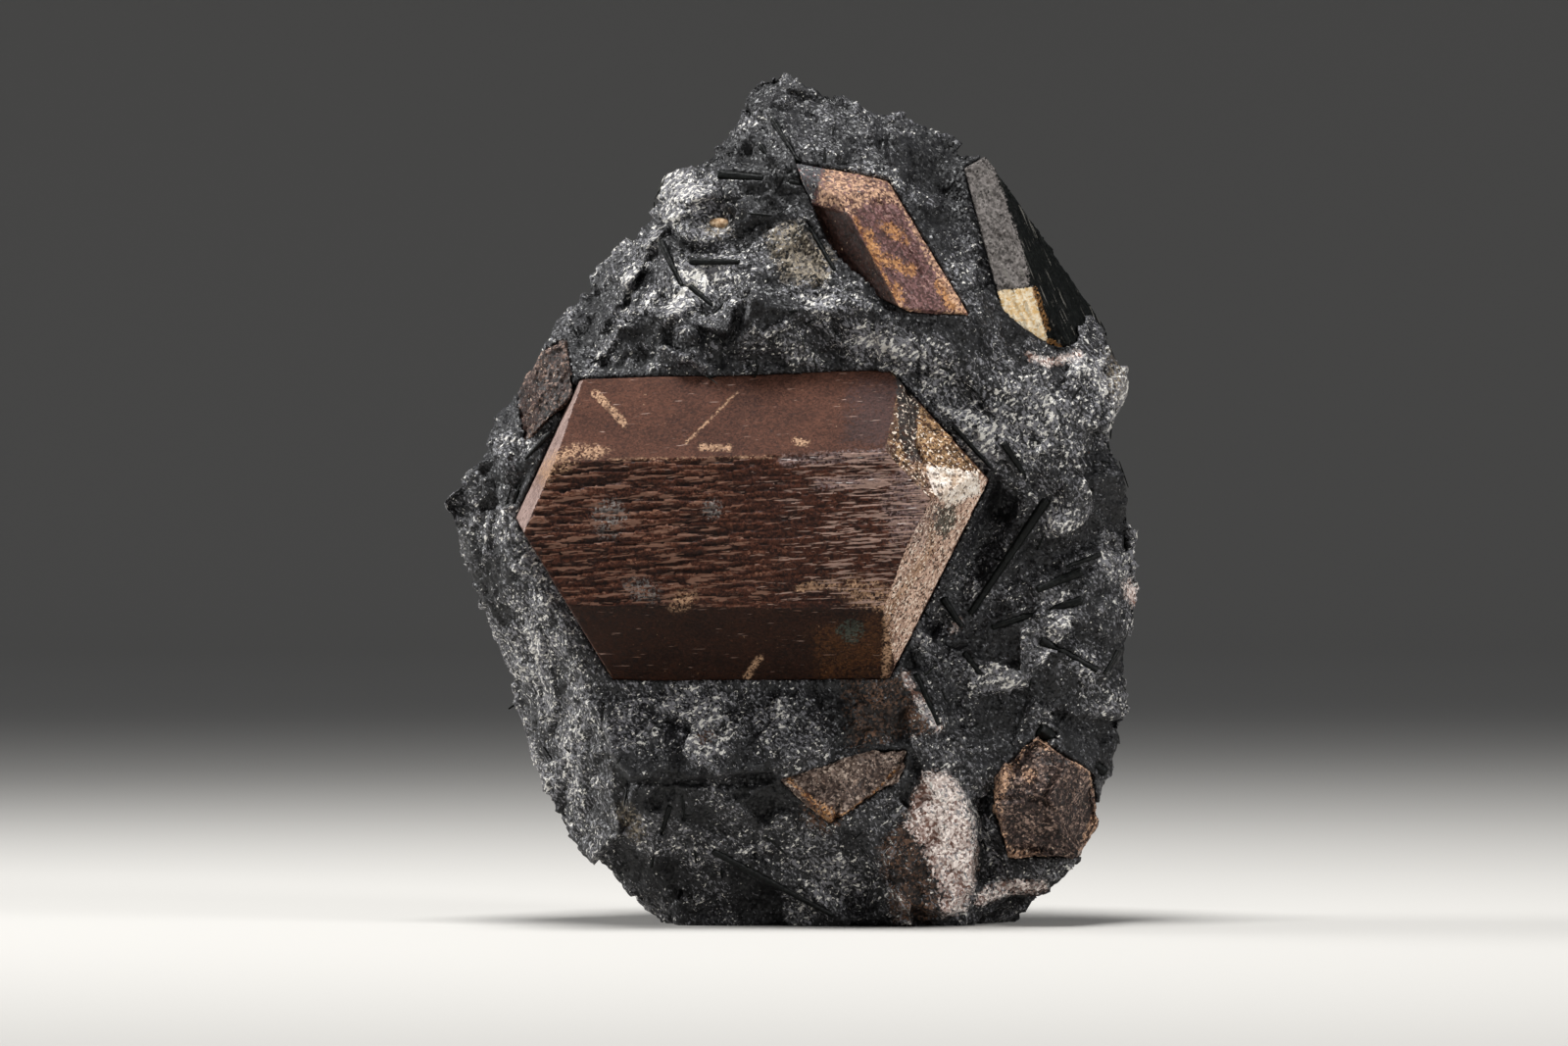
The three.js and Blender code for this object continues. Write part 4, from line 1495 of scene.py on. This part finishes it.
MAIN_RELIEF = Relief(
    (
        ReliefLayer(Pattern.LUMPS, 6.0, 9.0, 0.25),
        ReliefLayer(Pattern.LUMPS, 0.7, 0.7, 0.08, mask="show"),
        ReliefLayer(Pattern.SHINGLES, 0.7, 3.4, 0.36, axis=(0.997, 0.0, 0.07), mask="bark", wavy=1.0),
        ReliefLayer(Pattern.SHINGLES, 0.4, 3.0, 0.16, axis=(0.998, 0.0, 0.05), mask="fine", wavy=0.8),
        ReliefLayer(Pattern.FACETS, 1.3, 1.3, 0.45, mask="end_up"),
        ReliefLayer(Pattern.FACETS, 1.0, 1.6, 0.3, axis=(0.5, 0.0, 0.86), mask="end_low"),
    ),
    patch_mm=5.0,
)
UPPER_AXIS = (0.62, 0.0, -0.78)
UPPER_RELIEF = Relief(
    (
        ReliefLayer(Pattern.LUMPS, 3.0, 5.0, 0.3, axis=UPPER_AXIS),
        ReliefLayer(Pattern.FACETS, 0.8, 6.0, 0.35, axis=UPPER_AXIS, mask="show"),
        ReliefLayer(Pattern.LUMPS, 0.6, 0.6, 0.12, mask="show"),
    ),
    patch_mm=3.0,
)
CRUMBLY_RELIEF = Relief(
    (
        ReliefLayer(Pattern.LUMPS, 3.5, 3.5, 1.0),
        ReliefLayer(Pattern.FACETS, 1.8, 1.8, 0.5),
        ReliefLayer(Pattern.FACETS, 0.8, 0.8, 0.3),
    ),
    patch_mm=2.5,
)
COLUMN_AXIS = (0.4, 0.1, -0.91)
COLUMN_RELIEF = Relief(
    (
        ReliefLayer(Pattern.FACETS, 1.0, 14.0, 0.6, axis=COLUMN_AXIS, mask="fibres"),
        ReliefLayer(Pattern.FACETS, 0.4, 9.0, 0.35, axis=COLUMN_AXIS, mask="fibres"),
        ReliefLayer(Pattern.LUMPS, 2.0, 2.0, 0.2),
        ReliefLayer(Pattern.LUMPS, 0.5, 0.5, 0.08),
    ),
    patch_mm=3.0,
)
NEEDLE_RELIEF = Relief((ReliefLayer(Pattern.LUMPS, 0.5, 0.5, 0.12),))


ROCK_MARKS = {
    # pale: paler rock with more grey slivers, partly its own paler patches and partly painted light on the
    # facets that face the light, such as the left flank and the upper facets.
    "pale": (
        Spot(705, 290, 50, 34, -30), Spot(725, 352, 14, 10), Spot(830, 302, 40, 9, 10),
        Spot(545, 665, 50, 34, 60), Spot(590, 760, 80, 24, 75), Spot(600, 850, 30, 18, 50),
        Spot(1130, 400, 45, 26, 70), Spot(985, 420, 80, 26, 45), Spot(900, 350, 50, 14, 10),
        Spot(720, 735, 90, 30, 0, 0.5), Spot(830, 890, 90, 30, 10, 0.45), Spot(1035, 430, 60, 44, 45, 0.85),
        Spot(705, 195, 22, 14, -30, 0.5), Spot(1100, 670, 34, 20, 60), Spot(1008, 870, 34, 10, 75),
    ),
    "cream": (
        Patch(((780, 235), (815, 228), (850, 262), (840, 292), (800, 285)), 10, 0.85),
        Spot(1142, 390, 26, 12, 75, 0.9), Spot(643, 838, 18, 9, 60, 0.9), Spot(733, 234, 16, 8, 10, 0.7),
    ),
    "brown": (
        Patch(((865, 696), (925, 690), (958, 742), (915, 748), (870, 760)), 14),
        Patch(((899, 868), (928, 832), (940, 860), (960, 900), (950, 938), (915, 935)), 14),
        Spot(720, 752, 10, 5, -20, 0.9), Spot(838, 832, 16, 12, 30),
    ),
    "pink": (
        Patch(((943, 789), (964, 786), (981, 804), (992, 835), (997, 868), (994, 906), (984, 929), (962, 936),
               (958, 900), (938, 860), (925, 842), (932, 812)), 8),
        Spot(1156, 605, 14, 8, 65), Streak(((1000, 918), (1025, 905), (1062, 905)), 7, 0.9),
        Streak(((924, 690), (938, 715), (957, 742)), 4),
        Streak(((1050, 362), (1070, 370), (1100, 362)), 5, 0.9), Spot(975, 640, 6, 12, 20, 0.6),
    ),
}
MAIN_MARKS = {
    "tan": (
        Streak(((607, 401), (622, 415), (637, 432)), 3), Streak(((716, 456), (744, 457)), 3, 0.9),
        Streak(((752, 400), (700, 452)), 1.2, 0.8), Streak(((812, 450), (824, 452)), 3, 0.9),
        Spot(574, 469, 20, 9, -25, 0.9), Spot(598, 461, 18, 6, 0, 0.8), Spot(560, 484, 12, 5, -60, 0.9),
        Streak(((816, 600), (850, 596)), 3.5),
        Spot(885, 605, 26, 12, 15, 0.8),
        Spot(697, 612, 14, 8, -30, 0.7),
        Streak(((762, 690), (775, 672)), 3, 0.9), Streak(((620, 469), (800, 466)), 2, 0.4),
        Streak(((935, 460), (950, 500), (950, 560), (906, 625), (904, 690)), 4, 0.8),
        Streak(((600, 660), (620, 690)), 3, 0.7),
    ),
    "amber": (Patch(((830, 645), (904, 628), (902, 688), (840, 690)), 16), Spot(560, 482, 16, 8, -40)),
    "scuff": (Spot(622, 528, 14, 16, 0, 0.9), Spot(727, 519, 8, 8, 0, 0.9), Spot(655, 602, 15, 10, 20, 0.9)),
    "crust": (Patch(((945, 474), (998, 482), (1001, 503), (966, 517), (950, 500)), 4),),
    "green": (
        Patch(((955, 517), (976, 514), (975, 535), (962, 550), (953, 540)), 5),
        Spot(868, 643, 10, 12, 20),
    ),
    "groove": (
        Patch(((914, 382), (930, 390), (937, 412), (935, 452), (941, 472), (924, 468), (917, 440)), 3),
    ),
    "plum": (Patch(((870, 390), (918, 384), (924, 440), (905, 458), (860, 450)), 18, 0.9),),
    # sheen: painted highlight and glints along the upper front edges, where the surface is also glossier.
    "sheen": (
        Streak(((800, 470), (905, 464)), 5),
        Streak(((835, 494), (900, 489)), 5),
        Spot(930, 515, 22, 34),
    ),
}
MAIN_FOLDS = (Fold(((924, 384), (931, 420), (932, 456), (942, 474)), 6, -0.9),)
UPPER_MARKS = {
    # dark: painted shade on the face that looks left and down.
    "dark": (Patch(((826, 208), (866, 217), (917, 313), (905, 314), (860, 283)), 3),),
    "rust": (
        Streak(((885, 240), (897, 262), (930, 276)), 6), Streak(((888, 250), (893, 268)), 6),
        Streak(((960, 290), (972, 310), (982, 322)), 6), Spot(915, 300, 14, 7, 60, 0.8),
        Spot(912, 236, 16, 7, 40, 0.8), Streak(((872, 222), (888, 255), (912, 300)), 3, 0.7),
    ),
    "tan": (
        Patch(((838, 172), (870, 172), (908, 184), (918, 205), (880, 205), (866, 220), (832, 205)), 9),
        Streak(((918, 200), (950, 262), (984, 318)), 5, 0.85),
        Streak(((918, 318), (945, 332), (980, 322)), 8, 0.9),
    ),
    "rock": (Patch(((805, 160), (842, 164), (832, 205), (826, 212), (810, 200)), 5),),
}
UPPER_FACETS = (Facet(((826, 208), (866, 217), (917, 313), (905, 314), (860, 283)), -8, 24, -0.2),)
UPPER_FOLDS = (Fold(((866, 217), (917, 313)), 5, 0.35), Fold(((895, 205), (940, 280)), 4, -0.35))
COLUMN_MARKS = {
    "grey": (
        Patch(((975, 176), (1003, 160), (1014, 168), (1028, 209), (1040, 242), (1053, 293), (1018, 298),
               (1000, 250)), 4),
    ),
    # honey: the weathered end, painted brighter than its own colour as painted light.
    "honey": (
        Patch(((1018, 297), (1053, 293), (1063, 325), (1069, 345), (1060, 360), (1045, 360), (1028, 338)), 3),
    ),
    "rust": (Streak(((1070, 350), (1090, 362), (1110, 362)), 4), Streak(((1056, 296), (1068, 335)), 3, 0.8)),
}
SECTION_MARKS = {
    "tan": (
        Streak(((1035, 764), (1056, 753), (1090, 768), (1115, 786), (1122, 823), (1107, 868)), 5, 0.8),
        Streak(((1060, 878), (1023, 874), (1017, 844), (1011, 819), (1029, 782), (1040, 762)), 7, 0.95),
        Spot(1050, 790, 8, 6, 40, 0.8),
    ),
}
SECTION_FACETS = (
    Facet(((1030, 766), (1056, 750), (1092, 768), (1065, 815), (1012, 815)), 24, 14, 0.3),
    Facet(((1092, 768), (1125, 788), (1126, 823), (1109, 872), (1065, 815)), -4, -26, 0.2),
    Facet(((1012, 815), (1065, 815), (1109, 872), (1060, 882), (1018, 878)), -22, 10, 0.2),
)
WEDGE_FACETS = (
    Facet(((802, 793), (870, 768), (862, 800), (850, 842)), 4, 24),
    Facet(((870, 768), (928, 760), (928, 778), (885, 818), (850, 842), (862, 800)), -8, -20),
)
WEDGE_MARKS = {
    "rust": (
        Streak(((805, 795), (830, 818), (850, 838)), 3, 0.7),
        Streak(((850, 838), (885, 815), (925, 775)), 2, 0.6),
        Spot(842, 830, 14, 8, 40, 0.9),
    ),
}
LEFT_MARKS = {
    "dark": (Patch(((531, 399), (547, 374), (551, 430), (528, 455)), 3),),
    "rock": (Patch(((500, 392), (531, 398), (526, 456), (500, 456)), 4),),
}


def pieces() -> list[CutSolid]:
    """Lists the pieces of the specimen.

    Returns:
        The pieces, in the order that they are built.
    """
    rock = MatrixRock(
        "matrix", "matrix_rock", ROCK, 0.3, 196_000, ROCK_RELIEF,
        marks=ROCK_MARKS, facets=ROCK_FACETS, folds=ROCK_FOLDS,
    )
    main_crystal = MainCrystal(
        "lorenzenite_main", "lorenzenite", MAIN_BROWN, 0.18, 180_000, MAIN_RELIEF,
        faces={
            "top": (0.0, -0.74, 0.67),
            # under marks the faces that look down, which get painted shade.
            "under": (0.0, -0.69, -0.72),
            "end_up": (0.51, -0.68, 0.52),
            "end_low": (0.75, -0.6, -0.3),
            "end_left": (-0.85, -0.4, 0.3),
        },
        facing=0.94, marks=MAIN_MARKS, folds=MAIN_FOLDS,
    )
    upper = ShowCrystal(
        "lorenzenite_upper", "lorenzenite", UPPER_BROWN, 0.16, 70_000, UPPER_RELIEF,
        marks=UPPER_MARKS, facets=UPPER_FACETS, folds=UPPER_FOLDS, facet_edge_px=2.5,
    )
    column = CutSolid(
        "aegirine_column", "aegirine", COLUMN_BLACK, 0.18, 80_000, COLUMN_RELIEF,
        faces={"fibres": (0.75, -0.6, 0.3)}, facing=0.55,
        marks=COLUMN_MARKS,
    )
    left = CutSolid(
        "lorenzenite_left", "lorenzenite", CRUMBLY_BROWN, 0.16, 30_000, CRUMBLY_RELIEF, marks=LEFT_MARKS
    )
    wedge = CutSolid(
        "lorenzenite_wedge", "lorenzenite", TAN_BROWN, 0.16, 40_000, CRUMBLY_RELIEF,
        marks=WEDGE_MARKS, facets=WEDGE_FACETS,
    )
    section = CutSolid(
        "lorenzenite_section", "lorenzenite", CRUMBLY_BROWN, 0.18, 60_000, CRUMBLY_RELIEF,
        marks=SECTION_MARKS, facets=SECTION_FACETS,
    )
    grain = CutSolid("feldspar_grain", "feldspar", CREAM, 0.1, 4_000, NEEDLE_RELIEF)
    names = sorted(name for name in frame["nodes"] if name.startswith("aegirine_needle"))
    needles = [CutSolid(name, "aegirine", BLACK, 0.12, 4_000, NEEDLE_RELIEF) for name in names]
    return [rock, main_crystal, upper, column, left, wedge, section, grain, *needles]


def main() -> None:
    """Builds the stage and every piece of the specimen."""
    logging.basicConfig(level=logging.INFO, format="%(message)s")
    Stage().build()
    finished = [piece.build() for piece in pieces()]
    AegirineLaths(BLACK).build(finished[0])


if __name__ == "__main__":
    main()
